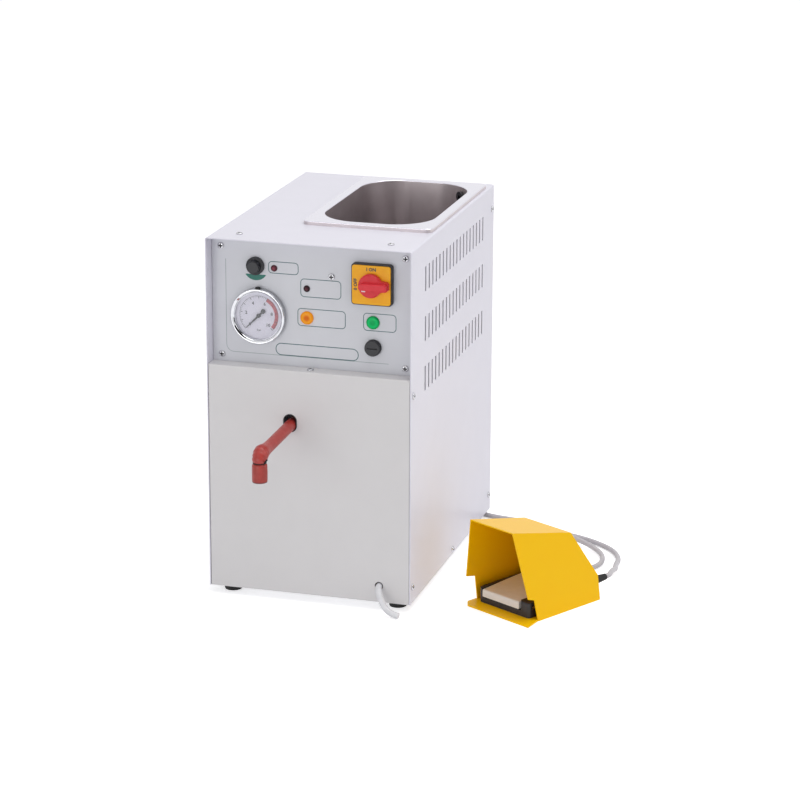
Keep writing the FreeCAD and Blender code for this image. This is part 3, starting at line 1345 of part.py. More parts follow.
def strain_relief():
    """The black sleeve round the cable where it leaves the base through the guard's heel."""
    back = BASE_FRONT + BASE_LENGTH
    start = Vector(RELIEF_X, back - 5, RELIEF_Z)
    reach = GUARD_REAR + RELIEF_LENGTH - start.y
    wall = GUARD_REAR - start.y
    profile = [(0, 0), (RELIEF_RADIUS - 1.5, 0), (RELIEF_RADIUS - 1.5, 5.1), (RELIEF_RADIUS, 5.1),
               (RELIEF_RADIUS, wall + 2), (RELIEF_RADIUS + 1.0, wall + 2), (RELIEF_RADIUS + 1.0, wall + 4),
               (CABLE_RADIUS + 0.6, reach), (0, reach)]
    return turned(profile, start, Y_AXIS)


def guard_screws():
    """The screws that hold the base's floor to the floor plate."""
    solids = []
    for at in guard_screw_places():
        solids.append(screw(at, Z_AXIS * -1, PLATE_THICK + BASE_FLOOR - 0.3))
    return Part.makeCompound(solids)


def cable_route():
    """The pedal cable's centre line, from the strain relief round its loop to the rear gland."""
    place = pedal_placement()
    relief_end = place.multVec(Vector(RELIEF_X, GUARD_REAR + RELIEF_LENGTH, RELIEF_Z))
    leave = place.multVec(Vector(RELIEF_X, GUARD_REAR + RELIEF_LENGTH + CABLE_LEAVE, RELIEF_Z))
    points = [relief_end, leave]
    for x, y, z in CABLE_POINTS:
        points.append(Vector(x, y, z))
    points.append(Vector(PEDAL_GLAND_X, DEPTH + GLAND_LENGTH + 20, PEDAL_GLAND_Z))
    points.append(Vector(PEDAL_GLAND_X, DEPTH + GLAND_LENGTH, PEDAL_GLAND_Z))
    return points


def pedal_cable():
    """The grey cable from the pedal to the cabinet, lying on the floor in one loose loop."""
    path, radii = rounded_route(cable_route())
    print("pedal cable radii", [round(radius, 1) for radius in radii])
    tube = tube_along(path, CABLE_RADIUS)
    check_tube("pedal cable", tube, path, CABLE_RADIUS)
    points = path.discretize(Distance=4.0)
    nearest = 1e9
    for index, first in enumerate(points):
        for second in points[index + 12:]:
            nearest = min(nearest, first.distanceToPoint(second))
    print("pedal cable least gap to itself", round(nearest - 2 * CABLE_RADIUS, 2))
    return tube


def build():
    """Every piece of the cabinet and the pedal, by name."""
    pieces = {
        "outer_cover": outer_cover(),
        "lower_front_panel": lower_front_panel(),
        "control_panel": control_panel(),
        "rear_panel": rear_panel(),
        "base_plate": base_plate(),
        "rubber_feet": rubber_feet(),
        "water_pan": water_pan(),
        "overflow_fitting": overflow_fitting(),
        "pan_outlet": pan_outlet(),
        "panel_screws": panel_screws(),
        "cover_screws": cover_screws(),
        "steam_pipe": steam_pipe(),
        "pipe_sleeve": pipe_sleeve(),
        "nozzle_sleeve": nozzle_sleeve(),
        "wire_tie": wire_tie(),
        "outlet_grommet": outlet_grommet(),
        "boiler": boiler(),
        "heater_flange": heater_flange(),
        "solenoid_valve": solenoid_valve(),
        "feed_pump": pump(),
        "drain_block": drain_block(),
        "drain_hose": drain_hose(),
        "gauge_case": gauge_case(),
        "gauge_bezel": gauge_bezel(),
        "gauge_plug": gauge_plug(),
        "gauge_dial": gauge_dial().cut(gauge_spindle()),
        "gauge_spindle": gauge_spindle(),
        "gauge_glass": gauge_glass(),
        "gauge_needle": gauge_needle(),
        "regulator": regulator(),
        "regulator_knob": regulator_knob(),
        "alarm_led": led(ALARM_X, ALARM_Z),
        "tank_empty_led": led(EMPTY_X, EMPTY_Z),
        "heating_lamp": lamp(HEATING_X, HEATING_Z),
        "line_lamp": lamp(LINE_X, LINE_Z),
        "fuse_holder": fuse_holder(),
        "fuse_cap": fuse_cap(),
        "fuse_cartridge": fuse_cartridge(),
        "switch_body": switch_body(),
        "switch_plate": switch_plate(),
        "switch_handle": switch_handle(),
        "mains_gland": gland(MAINS_X, MAINS_Z, MAINS_BORE, 0),
        "cable_gland": gland(PEDAL_GLAND_X, PEDAL_GLAND_Z, CABLE_RADIUS, 10 + GLAND_LENGTH),
        "guard_hood": on_pedal(guard_hood()),
        "guard_plate": on_pedal(guard_plate()),
        "pedal_base": on_pedal(pedal_base()),
        "treadle": on_pedal(treadle()),
        "pivot_pin": on_pedal(pivot_pin()),
        "switch_plunger": on_pedal(switch_plunger()),
        "return_spring": on_pedal(return_spring()),
        "strain_relief": on_pedal(strain_relief()),
        "guard_screws": on_pedal(guard_screws()),
        "pedal_cable": pedal_cable(),
    }
    return pieces


FREE_HOSES = ("drain_hose", "pedal_cable")


def centring_move(pieces):
    """The move that puts the origin on the floor below the middle of the rigid pieces."""
    whole = FreeCAD.BoundBox()
    for name, shape in pieces.items():
        if name not in FREE_HOSES:
            whole.add(shape.BoundBox)
    return Vector(-whole.Center.x, -whole.Center.y, 0)


PIECES = build()
MOVE = centring_move(PIECES)
print("move from the cabinet's frame", round(MOVE.x, 3), round(MOVE.y, 3))
os.makedirs("parts", exist_ok=True)
for name, shape in PIECES.items():
    shape.translate(MOVE)
    shape.exportStep("parts/" + name + ".step")
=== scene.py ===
import math

import bmesh
import bpy
import numpy as np
from mathutils import Matrix, Vector


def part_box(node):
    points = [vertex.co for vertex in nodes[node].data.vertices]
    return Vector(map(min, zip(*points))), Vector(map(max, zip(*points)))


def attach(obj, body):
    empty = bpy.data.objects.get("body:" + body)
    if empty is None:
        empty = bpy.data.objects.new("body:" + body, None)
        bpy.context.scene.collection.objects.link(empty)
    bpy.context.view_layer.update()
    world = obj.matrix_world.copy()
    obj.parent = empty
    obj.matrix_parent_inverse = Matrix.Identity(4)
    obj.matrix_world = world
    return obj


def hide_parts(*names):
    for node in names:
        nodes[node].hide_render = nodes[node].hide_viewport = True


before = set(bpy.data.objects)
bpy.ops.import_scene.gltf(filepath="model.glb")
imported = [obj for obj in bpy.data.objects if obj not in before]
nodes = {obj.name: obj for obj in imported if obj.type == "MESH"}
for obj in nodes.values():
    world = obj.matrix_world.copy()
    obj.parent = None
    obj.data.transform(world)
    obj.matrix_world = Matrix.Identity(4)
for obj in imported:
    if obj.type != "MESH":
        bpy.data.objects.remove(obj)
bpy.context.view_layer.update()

# Cabinet sheets.
# Folded steel sheets, sprayed with polyester powder and stoved. The coat is white and slightly
# glossy, with a fine orange peel; the sheets are screwed together at their flanges.

# The cabinet's own origin is on the floor below the middle of its front face.
cover_low, cover_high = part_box("outer_cover")
panel_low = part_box("control_panel")[0]
FRONT_FACE = cover_low.y
MIDDLE = (cover_low.x + cover_high.x) / 2
TOP = cover_high.z
PANEL_FACE = panel_low.y


def at(x, y, z):
    """A point of the cabinet's frame, in metres: right of its middle, back from its front, up."""
    return Vector((MIDDLE + x, FRONT_FACE + y, z))


def srgb(text):
    """A hex colour as linear red, green, blue and one."""
    parts = [int(text[k:k + 2], 16) / 255 for k in (0, 2, 4)]
    return [c / 12.92 if c <= 0.04045 else ((c + 0.055) / 1.055) ** 2.4 for c in parts] + [1.0]


def add(tree, kind, sockets=None, **settings):
    """Add a shader node: its settings by attribute, its sockets by value or by link."""
    node = tree.nodes.new("ShaderNode" + kind)
    for name, value in settings.items():
        setattr(node, name, value)
    for name, value in (sockets or {}).items():
        if isinstance(value, bpy.types.NodeSocket):
            tree.links.new(value, node.inputs[name])
        else:
            node.inputs[name].default_value = value
    return node


def start_material(name, hex_colour, **values):
    """A new material: its tree, its surface shader, and object coordinates to draw patterns on."""
    material = bpy.data.materials.new(name)
    material.use_nodes = True
    tree = material.node_tree
    tree.nodes.clear()
    surface = add(tree, "BsdfPrincipled", {"Base Color": srgb(hex_colour)})
    for socket, value in values.items():
        surface.inputs[socket.replace("_", " ")].default_value = value
    output = add(tree, "OutputMaterial")
    tree.links.new(surface.outputs[0], output.inputs["Surface"])
    coords = add(tree, "TexCoord").outputs["Object"]
    return material, tree, surface, coords


def mottle(tree, surface, coords, first, second, grain, contrast=0.5):
    """Vary the colour between two tones over patches of the grain's size, in metres."""
    noise = add(tree, "TexNoise", {"Vector": coords, "Scale": 1 / grain, "Detail": 3.0})
    ramp = add(tree, "ValToRGB", {"Fac": noise.outputs["Fac"]})
    ramp.color_ramp.elements[0].position = 0.5 - contrast / 2
    ramp.color_ramp.elements[1].position = 0.5 + contrast / 2
    ramp.color_ramp.elements[0].color = srgb(first)
    ramp.color_ramp.elements[1].color = srgb(second)
    tree.links.new(ramp.outputs["Color"], surface.inputs["Base Color"])


def bump(tree, surface, height, depth, strength=1.0):
    """Raise the surface by a pattern's height, in metres."""
    lift = add(tree, "Bump", {"Height": height, "Distance": depth, "Strength": strength})
    tree.links.new(lift.outputs[0], surface.inputs["Normal"])


def paint(material, *names):
    """Give a material to solids of the frame, by their names."""
    for name in names:
        data = nodes[name].data
        data.materials.clear()
        data.materials.append(material)


def powder_coat(name, light, dark, roughness, gloss=0.5, coat=0.15):
    """Polyester powder coat: even colour, orange peel of 1.6 mm cells, 12 micrometres deep."""
    cloud, peel_cell, peel_depth = 0.030, 0.0016, 0.000012
    material, tree, surface, coords = start_material(
        name, light, Roughness=roughness, Coat_Weight=coat, Coat_Roughness=0.25, Specular_IOR_Level=gloss)
    mottle(tree, surface, coords, dark, light, cloud, 0.9)
    peel = add(tree, "TexNoise", {"Vector": coords, "Scale": 1 / peel_cell, "Detail": 1.0})
    bump(tree, surface, peel.outputs["Fac"], peel_depth)
    return material


# A cool white with a soft sheen, which the peel breaks up.
white_coat = powder_coat("white_polyester_powder_coat", "E5E3EE", "E1DFEA", 0.42)
paint(white_coat, "outer_cover", "rear_panel")
# The lower front is the cover's coat, painted a touch warmer and greyer than the cover as painted shade.
front_coat_shaded = powder_coat("white_powder_coat_front_painted_shade", "DCDADB", "D8D6D7", 0.38)
paint(front_coat_shaded, "lower_front_panel")

# Control panel.
# A sheet of the same steel, sprayed silver grey and screen printed with thin dark green lines
# round each group of controls. It looks smoother and cooler than the white sheets.
panel_grey = powder_coat("silver_grey_stoved_lacquer", "D5D6DC", "CFD0D6", 0.34)
paint(panel_grey, "control_panel")


def mesh_piece(name, points, faces, material, body="cabinet", smooth=True):
    """A new piece from points and faces in the row frame, riding on a body."""
    data = bpy.data.meshes.new(name)
    data.from_pydata(np.asarray(points, float).tolist(), [], [list(map(int, f)) for f in faces])
    shell = bmesh.new()
    shell.from_mesh(data)
    bmesh.ops.recalc_face_normals(shell, faces=shell.faces)
    shell.to_mesh(data)
    shell.free()
    data.polygons.foreach_set("use_smooth", [smooth] * len(data.polygons))
    data.materials.append(material)
    piece = bpy.data.objects.new(name, data)
    bpy.context.scene.collection.objects.link(piece)
    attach(piece, body)
    return piece


def grid_faces(rows, columns, close_rows=False, close_columns=False):
    """Quads over a grid of points in row order, closed round either way where asked."""
    r = np.arange(rows if close_rows else rows - 1)
    c = np.arange(columns if close_columns else columns - 1)
    r, c = np.meshgrid(r, c, indexing="ij")
    r2, c2 = (r + 1) % rows, (c + 1) % columns
    quads = np.stack([r * columns + c, r * columns + c2, r2 * columns + c2, r2 * columns + c], -1)
    return quads.reshape(-1, 4)


def printed_line(path, width, thickness, face, closed=True):
    """A printed band on an upright face: a path in x and z, widened by half its width to both
    sides along its normal, and as thick as the ink. Returns points and faces."""
    path = np.asarray(path, float)
    if closed:
        ahead = np.roll(path, -1, 0) - np.roll(path, 1, 0)
    else:
        ahead = np.gradient(path, axis=0)
    ahead /= np.linalg.norm(ahead, axis=1)[:, None]
    side = np.stack([-ahead[:, 1], ahead[:, 0]], 1) * width / 2
    ring = []
    for offset, depth in ((side, 0), (-side, 0), (-side, thickness), (side, thickness)):
        flat = path + offset
        ring.append(np.stack([flat[:, 0], np.full(len(flat), face - depth), flat[:, 1]], 1))
    points = np.stack(ring, 1).reshape(-1, 3)
    faces = grid_faces(len(path), 4, close_rows=closed, close_columns=True)
    faces = [list(f) for f in faces]
    if not closed:
        last = (len(path) - 1) * 4
        faces += [[0, 3, 2, 1], [last, last + 1, last + 2, last + 3]]
    return points, faces


def rounded_box_path(x0, x1, z0, z1, radius, steps=8):
    """A rectangle whose corners are quarter circles, as points in x and z."""
    quarter = np.linspace(0, math.pi / 2, steps)
    corners = ((x1 - radius, z1 - radius, 0), (x0 + radius, z1 - radius, 1),
               (x0 + radius, z0 + radius, 2), (x1 - radius, z0 + radius, 3))
    arcs = [np.stack([cx + radius * np.cos(quarter + k * math.pi / 2),
                      cz + radius * np.sin(quarter + k * math.pi / 2)], 1) for cx, cz, k in corners]
    return np.concatenate(arcs)


def join_parts(parts):
    """Several sets of points and faces as one."""
    points, faces, count = [], [], 0
    for some_points, some_faces in parts:
        points.append(np.asarray(some_points, float))
        faces += [[int(i) + count for i in face] for face in some_faces]
        count += len(some_points)
    return np.concatenate(points), faces


# Ink stands 0.06 mm off its face, more than real ink, so that the two don't meet.
INK = 0.00006
# Thin lines of a dull blue green, matt beside the lacquer.
ink_green, tree, surface, coords = start_material("screen_print_ink_dark_green", "44676A", Roughness=0.5)
mottle(tree, surface, coords, "3A5A5E", "4F7478", 0.0015)

outlines = []
# Each box's left, right, bottom and top, its corner's radius and its line's width.
PRINTED_BOXES = (
    (-0.0548, -0.0179, 0.4044, 0.4184, 0.0042, 0.0009),
    (-0.0148, 0.0350, 0.3784, 0.4001, 0.0045, 0.0009),
    (-0.0186, 0.0404, 0.3427, 0.3637, 0.0042, 0.0009),
    (0.0630, 0.1030, 0.3432, 0.3642, 0.0045, 0.0009),
    (-0.0464, 0.0564, 0.3045, 0.3187, 0.0068, 0.0010))
for x0, x1, z0, z1, radius, line in PRINTED_BOXES:
    path = rounded_box_path(MIDDLE + x0, MIDDLE + x1, z0, z1, radius)
    outlines.append(printed_line(path, line, INK, PANEL_FACE))
# A line down the left side, round one corner and along the bottom, open at both ends.
bend_x, bend_z, bend_r = -0.0997, 0.3128, 0.009
corner = np.linspace(math.pi, 1.5 * math.pi, 10)
open_line = np.concatenate([
    [[bend_x - bend_r, 0.4180]],
    np.stack([bend_x + bend_r * np.cos(corner), bend_z + bend_r * np.sin(corner)], 1),
    [[0.0940, bend_z - bend_r]]]) + [MIDDLE, 0]
mesh_piece("panel_print", *join_parts(outlines), ink_green, smooth=False)
# Paler than the boxes, hardly darker than the lacquer.
ink_grey, tree, surface, coords = start_material("screen_print_ink_pale_grey", "96A2A3", Roughness=0.5)
mottle(tree, surface, coords, "8F9B9C", "9EAAAB", 0.0015)
outline_band = printed_line(open_line, 0.0006, INK, PANEL_FACE, closed=False)
outline = mesh_piece("panel_outline_print", *outline_band, ink_grey, smooth=False)

# The crescent under the knob's lower edge, pointed at both ends, in a strong even teal.
ink_teal, tree, surface, coords = start_material("screen_print_ink_teal", "156B5E", Roughness=0.45)
mottle(tree, surface, coords, "126055", "1A7768", 0.002)
knob_low, knob_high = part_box("regulator_knob")
knob_x, knob_z = (knob_low.x + knob_high.x) / 2, (knob_low.z + knob_high.z) / 2
turn = np.linspace(math.radians(214), math.radians(326), 48)
share = np.sin(np.linspace(0.02, 0.98, len(turn)) * math.pi) ** 0.7
centre = [knob_x, knob_z - 0.0025]
spoke = np.stack([np.cos(turn), np.sin(turn)], 1)
crescent_radius, crescent_width, tip_width = 0.0155, 0.0078, 0.0002
inner_arc = (crescent_radius - tip_width - crescent_width * share)[:, None] * spoke + centre
outer_arc = crescent_radius * spoke + centre
layers = [np.stack([flat[:, 0], np.full(len(flat), PANEL_FACE - deep), flat[:, 1]], 1)
          for flat, deep in ((inner_arc, 0), (outer_arc, 0), (outer_arc, INK), (inner_arc, INK))]
crescent = np.stack(layers, 1).reshape(-1, 3)
last = (len(turn) - 1) * 4
quads = grid_faces(len(turn), 4, close_columns=True).tolist()
quads += [[0, 3, 2, 1], [last, last + 1, last + 2, last + 3]]
mesh_piece("knob_scale_print", crescent, quads, ink_teal, smooth=False)

# Screws.
# Zinc plated pan head screws with a cross recess, pressed and thread rolled. The heads are bright
# points, and a dark grey painted into their recesses, as painted shade with old grease, draws a dark cross on each.
zinc, tree, surface, coords = start_material("bright_zinc_plated_steel", "C9C9CC", Metallic=1.0, Roughness=0.24)
mottle(tree, surface, coords, "B9B9BD", "D2D2D6", 0.0012)
# Dark grey for the recesses: painted shade, together with old grease.
recess_shade_and_grease, tree, surface, coords = start_material("zinc_recess_painted_shade_and_grease", "3C3B3E", Metallic=0.6, Roughness=0.5)
mottle(tree, surface, coords, "302F32", "4A494D", 0.0006)
paint(zinc, "base_plate", "heater_flange", "pivot_pin", "return_spring", "guard_screws", "regulator")
# A head's radius, its dome's height, and the depth and arm of its recess.
HEAD, DOME, RECESS, ARM = 0.0041, 0.0021, 0.0014, 0.0027


def screw_mesh(place, outward):
    """A pan head screw: a profile of radius and height from the recess out over the dome, under
    the head and down the shank, turned round; the recess sinks the dome where either of two
    crossed arms, 1.3 mm wide and tapering to their ends, covers it."""
    u = np.linspace(0, 1, 17)
    dome = np.stack([HEAD * np.sin(u * math.pi / 2) ** 0.9, DOME * np.cos(u * math.pi / 2) ** 0.55], 1)
    under = np.array([[HEAD * 0.96, 0.0], [0.0019, 0.0], [0.0019, -0.006], [0.0004, -0.0072]])
    profile = np.concatenate([dome[1:], under])
    around = np.linspace(0, 2 * math.pi, 48, endpoint=False)
    radius, angle = np.meshgrid(profile[:, 0], around, indexing="ij")
    height = np.repeat(profile[:, 1][:, None], len(around), 1)
    x, y = radius * np.cos(angle), radius * np.sin(angle)
    arm = np.minimum(np.abs(x), np.abs(y))
    reach = np.maximum(np.abs(x), np.abs(y))
    sunk = 1 / (1 + np.exp((arm - 0.00062) / 0.00006)) / (1 + np.exp((reach - ARM) / 0.00010))
    on_dome = np.arange(len(profile))[:, None] < len(dome) - 1
    height = np.where(on_dome, height - RECESS * sunk, height)
    points = np.stack([x, y, height], -1).reshape(-1, 3)
    points = np.concatenate([points, [[0, 0, DOME - RECESS], [0, 0, -0.0074]]])
    count, ring = len(profile), len(around)
    faces = [list(f[::-1]) for f in grid_faces(count, ring, close_columns=True)]
    top, tip, final = count * ring, count * ring + 1, (count - 1) * ring
    for k in range(ring):
        after = (k + 1) % ring
        faces.append([top, k, after])
        faces.append([tip, final + after, final + k])
    turn = Vector(outward).to_track_quat("Z", "Y").to_matrix()
    return points @ np.array(turn).T + np.array(place), faces


def placed_screw(place, outward):
    """A screw's points and faces, with its place and the way it points."""
    return (*screw_mesh(place, outward), place, outward)


def screw_heads(name, heads):
    """Many screws as one piece; the faces whose middle lies deep in a head's recess get the painted shade and
    grease.
    """
    piece = mesh_piece(name, *join_parts([head[:2] for head in heads]), zinc)
    piece.data.materials.append(recess_shade_and_grease)
    middles = np.empty(len(piece.data.polygons) * 3)
    piece.data.polygons.foreach_get("center", middles)
    middles = middles.reshape(-1, 3)
    which = np.zeros(len(middles), dtype=np.int32)
    for place, outward in (head[2:] for head in heads):
        outward = np.array(outward, float)
        local = middles - np.array(place)
        height = local @ outward
        radius = np.linalg.norm(local - height[:, None] * outward, axis=1)
        slope = np.arcsin(np.clip(radius / HEAD, 0, 1) ** (1 / 0.9))
        dome = DOME * np.maximum(np.cos(slope), 0) ** 0.55
        which[(radius < ARM + 0.0002) & (height > 0.0002) & (height < dome - 0.0005)] = 1
    piece.data.polygons.foreach_set("material_index", which)
    return piece


# How far back and how high each screw of a side stands.
side_rows = [(0.01026, panel_low.z - 0.0074), (0.01026, 0.0303), (0.194, 0.0163), (0.373, 0.0314),
             (0.373, TOP - 0.03)]
cover_heads = []
for side in (-1, 1):
    x = cover_high.x if side > 0 else cover_low.x
    for y, z in side_rows:
        cover_heads.append(placed_screw((x, FRONT_FACE + y, z), (side, 0, 0)))
for x in (-0.094, 0.094):
    cover_heads.append(placed_screw((MIDDLE + x, PANEL_FACE + 0.009, TOP), (0, 0, 1)))
cover_screws = screw_heads("cover_screw_heads", cover_heads)
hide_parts("cover_screws")
panel_heads = []
for x in (-0.1146, 0.1146):
    for z in (TOP - 0.0134, 0.3000):
        panel_heads.append(placed_screw((MIDDLE + x, PANEL_FACE, z), (0, -1, 0)))
panel_heads.append(placed_screw((MIDDLE + 0.0235, PANEL_FACE, TOP - 0.042), (0, -1, 0)))
panel_heads.append(placed_screw((MIDDLE, FRONT_FACE + 0.010, 0.2915), (0, 0, 1)))
panel_screws = screw_heads("panel_screw_heads", panel_heads)
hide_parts("panel_screws")

# Feet, edgings and other rubber.
# Moulded black rubber feet, hole edging, gauge plug and strain relief: matt, with a faint grey
# bloom and hardly a highlight.
rubber, tree, surface, coords = start_material("moulded_black_epdm_rubber", "1A1A1B", Roughness=0.78)
mottle(tree, surface, coords, "141415", "242425", 0.004)
grain = add(tree, "TexNoise", {"Vector": coords, "Scale": 1 / 0.0007, "Detail": 2.0})
bump(tree, surface, grain.outputs["Fac"], 0.00004)
paint(rubber, "rubber_feet", "outlet_grommet", "gauge_plug", "strain_relief")

# Water pan.
# Deep drawn stainless steel: the walls are dulled by steam and keep fine upright draw lines, the
# rim is polished bright. The change comes at the mouth.
pan_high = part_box("water_pan")[1]
pan_steel, tree, surface, coords = start_material(
    "deep_drawn_stainless_steel", "CBC2C3", Metallic=1.0, Roughness=0.34)
mottle(tree, surface, coords, "BFB6B8", "D0C8CA", 0.025, 0.8)
height = add(tree, "SeparateXYZ", {"Vector": coords}).outputs["Z"]
rim = add(tree, "MapRange", {"Value": height, "From Min": pan_high.z - 0.0015, "From Max": pan_high.z - 0.0006})
dulled = surface.inputs["Base Color"].links[0].from_socket
both = add(tree, "Mix", {"Factor": rim.outputs[0], 6: dulled, 7: srgb("E0DEE8")}, data_type="RGBA")
tree.links.new(both.outputs[2], surface.inputs["Base Color"])
lines = add(tree, "Mapping", {"Vector": coords, "Scale": (1, 1, 0.05)})
draw = add(tree, "TexNoise", {"Vector": lines.outputs[0], "Scale": 1 / 0.004, "Detail": 3.0})
rough = add(tree, "MapRange", {"Value": draw.outputs["Fac"], "To Min": 0.32, "To Max": 0.40})
polish = add(tree, "MapRange", {"Value": rim.outputs[0], "To Min": 1.0, "To Max": 0.42})
rough = add(tree, "Math", {0: rough.outputs[0], 1: polish.outputs[0]}, operation="MULTIPLY")
tree.links.new(rough.outputs[0], surface.inputs["Roughness"])
bump(tree, surface, draw.outputs["Fac"], 0.000005)
paint(pan_steel, "water_pan")

# Black plastic fittings.
# Glass filled nylon and ABS, injection moulded with a fine spark eroded grain, which gives them
# a dull, even sheen.


def moulded(name, dark, light, roughness, grain_size=0.0005, depth=0.00002):
    """Injection moulded plastic: faint mottling and the grain of the mould."""
    material, tree, surface, coords = start_material(name, light, Roughness=roughness)
    mottle(tree, surface, coords, dark, light, 0.006)
    grain = add(tree, "TexNoise", {"Vector": coords, "Scale": 1 / grain_size, "Detail": 2.0})
    bump(tree, surface, grain.outputs["Fac"], depth)
    return material


black_plastic = moulded("black_glass_filled_nylon", "14141A", "1B1B22", 0.45)
paint(black_plastic, "overflow_fitting", "pan_outlet", "mains_gland", "cable_gland", "fuse_holder", "fuse_cap",
      "regulator_knob", "switch_body", "switch_plunger", "gauge_needle", "gauge_spindle")
pedal_black = moulded("black_pedal_polyamide", "222024", "2C2A2F", 0.5)
paint(pedal_black, "pedal_base")

# Boiler, valve and pump.
# Hidden inside: a welded steel vessel, a brass valve and drain block, and an enamelled pump.
# Dull grey steel with weld and mill marks.
vessel, tree, surface, coords = start_material("welded_boiler_steel", "8C8D90", Metallic=1.0, Roughness=0.45)
mottle(tree, surface, coords, "7A7B7F", "98999C", 0.012)
paint(vessel, "boiler")
# Warm yellow metal, lightly turned; it shows at the pipe's open end.
brass, tree, surface, coords = start_material("turned_brass", "C9A25A", Metallic=1.0, Roughness=0.3)
mottle(tree, surface, coords, "B58E48", "D6B26C", 0.003)
paint(brass, "solenoid_valve", "drain_block", "steam_pipe")
# Dark slate enamel with a gloss.
enamel, tree, surface, coords = start_material("enamelled_pump_housing", "33383D", Roughness=0.35)
mottle(tree, surface, coords, "2C3136", "3B4146", 0.01)
paint(enamel, "feed_pump")

# Pressure gauge.
# A 63 mm gauge: polished chrome bezel, white enamelled dial with a black printed scale of nought
# to ten and a red zone, black needle, clear window.
# A mirror: white studio, dark cards and the panel show in it.
chrome, tree, surface, coords = start_material("polished_chrome_plate", "D5D6DA", Metallic=1.0, Roughness=0.07)
mottle(tree, surface, coords, "CDCED2", "DADBDF", 0.004)
paint(chrome, "gauge_bezel", "gauge_case")


def spun_ring(profile, centre, across, upright, ahead, around):
    """A closed loop of (radius, height) pairs, in mm, spun about an axis: each point lies at
    centre + radius * (cos a * across + sin a * upright) + height * ahead."""
    loop = np.asarray(profile, float) / 1000
    angle = np.linspace(0, 2 * math.pi, around, endpoint=False)
    spoke = np.cos(angle)[:, None] * np.array(across) + np.sin(angle)[:, None] * np.array(upright)
    points = np.array(centre) + loop[:, 0, None, None] * spoke + loop[:, 1, None, None] * np.array(ahead)
    return points.reshape(-1, 3), grid_faces(len(loop), around, close_rows=True, close_columns=True)


bezel_low, bezel_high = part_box("gauge_bezel")
bezel_centre = ((bezel_low.x + bezel_high.x) / 2, PANEL_FACE, (bezel_low.z + bezel_high.z) / 2)
roll = np.linspace(0, math.radians(127), 22)
crown = np.stack([32.4 + 1.6 * np.cos(roll), 7.4 + 1.6 * np.sin(roll)], 1)
window_seat = [[30.54, 8.0], [29.64, 7.32], [29.55, 7.1], [30.6, 6.3], [30.6, 0.1]]
bezel_loop = np.concatenate([[[34.0, 0.1]], crown, window_seat])
bezel_ring = spun_ring(bezel_loop, bezel_centre, (1, 0, 0), (0, 0, 1), (0, -1, 0), 144)
bezel = mesh_piece("rolled_bezel", *bezel_ring, chrome)
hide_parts("gauge_bezel")
# A faintly lilac white, smooth and without gloss.
dial_white = moulded("white_dial_enamel", "DFDCEA", "E5E2EF", 0.5, 0.001, 0.000004)
paint(dial_white, "gauge_dial")
# Clear, so that only a faint reflection tells of it.
window, tree, surface, coords = start_material(
    "clear_gauge_window", "F4F7FA", Roughness=0.05, Alpha=0.08, Specular_IOR_Level=0.8)
mottle(tree, surface, coords, "EEF3F7", "F8FAFC", 0.01)
window.surface_render_method = "BLENDED"
paint(window, "gauge_glass", "fuse_cartridge")

# Matt inks: a soft black for marks and words, a dusty red for the zone.
ink_black, tree, surface, coords = start_material("black_printing_ink", "2B2B33", Roughness=0.5)
mottle(tree, surface, coords, "24242B", "33333C", 0.001)
ink_red, tree, surface, coords = start_material("red_printing_ink", "B85560", Roughness=0.5)
mottle(tree, surface, coords, "B04A56", "C0606A", 0.002)

dial_low, dial_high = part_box("gauge_dial")
DIAL_FACE = dial_low.y
dial_x, dial_z = (dial_low.x + dial_high.x) / 2, (dial_low.z + dial_high.z) / 2
ZERO = math.radians(225)
SWEEP = math.radians(270)


def on_dial(share, radius):
    """A point in x and z at a share of the scale, clockwise from nought, at a radius."""
    angle = ZERO - np.asarray(share, float) * SWEEP
    return np.stack([dial_x + radius * np.cos(angle), dial_z + radius * np.sin(angle)], -1)


# The marks' outer end, and the inner end and width of each fifth mark and of the others.
SCALE_EDGE, DIVISIONS = 0.0240, 50
LONG_MARK, SHORT_MARK = (0.0208, 0.00065), (0.0224, 0.00032)
marks = []
for k in range(DIVISIONS + 1):
    share = k / DIVISIONS
    inner, width = SHORT_MARK if k % 5 else LONG_MARK
    path = np.stack([on_dial(share, inner), on_dial(share, SCALE_EDGE)])
    marks.append(printed_line(path, width, INK, DIAL_FACE, closed=False))
scale_arc = on_dial(np.linspace(0, 1, 90), SCALE_EDGE + 0.0002)
marks.append(printed_line(scale_arc, 0.0003, INK, DIAL_FACE, closed=False))
mesh_piece("dial_scale_print", *join_parts(marks), ink_black, smooth=False)
zone_arc = on_dial(np.linspace(0.600, 0.985, 60), 0.0222)
zone = printed_line(zone_arc, 0.0046, INK * 0.5, DIAL_FACE, closed=False)
mesh_piece("dial_red_zone_print", *zone, ink_red, smooth=False)


def printed_text(name, words, height, centre, material, face, turn=0.0, bold=0.0):
    """Generic numbers or words as a flat mesh of ink on an upright face, centred on a point."""
    data = bpy.data.curves.new(name, "FONT")
    data.body = words
    data.size = height * 1.4
    data.align_x = "CENTER"
    data.align_y = "CENTER"
    data.extrude = INK / 2
    data.offset = height * bold
    data.resolution_u = 2
    text = bpy.data.objects.new(name, data)
    bpy.context.scene.collection.objects.link(text)
    mesh = bpy.data.meshes.new_from_object(text)
    bpy.data.objects.remove(text)
    place = (Matrix.Translation((centre[0], face - INK / 2, centre[1])) @ Matrix.Rotation(-turn, 4, "Y")
             @ Matrix.Rotation(math.pi / 2, 4, "X"))
    mesh.transform(place)
    mesh.materials.clear()
    mesh.materials.append(material)
    piece = bpy.data.objects.new(name, mesh)
    bpy.context.scene.collection.objects.link(piece)
    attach(piece, "cabinet")
    return piece


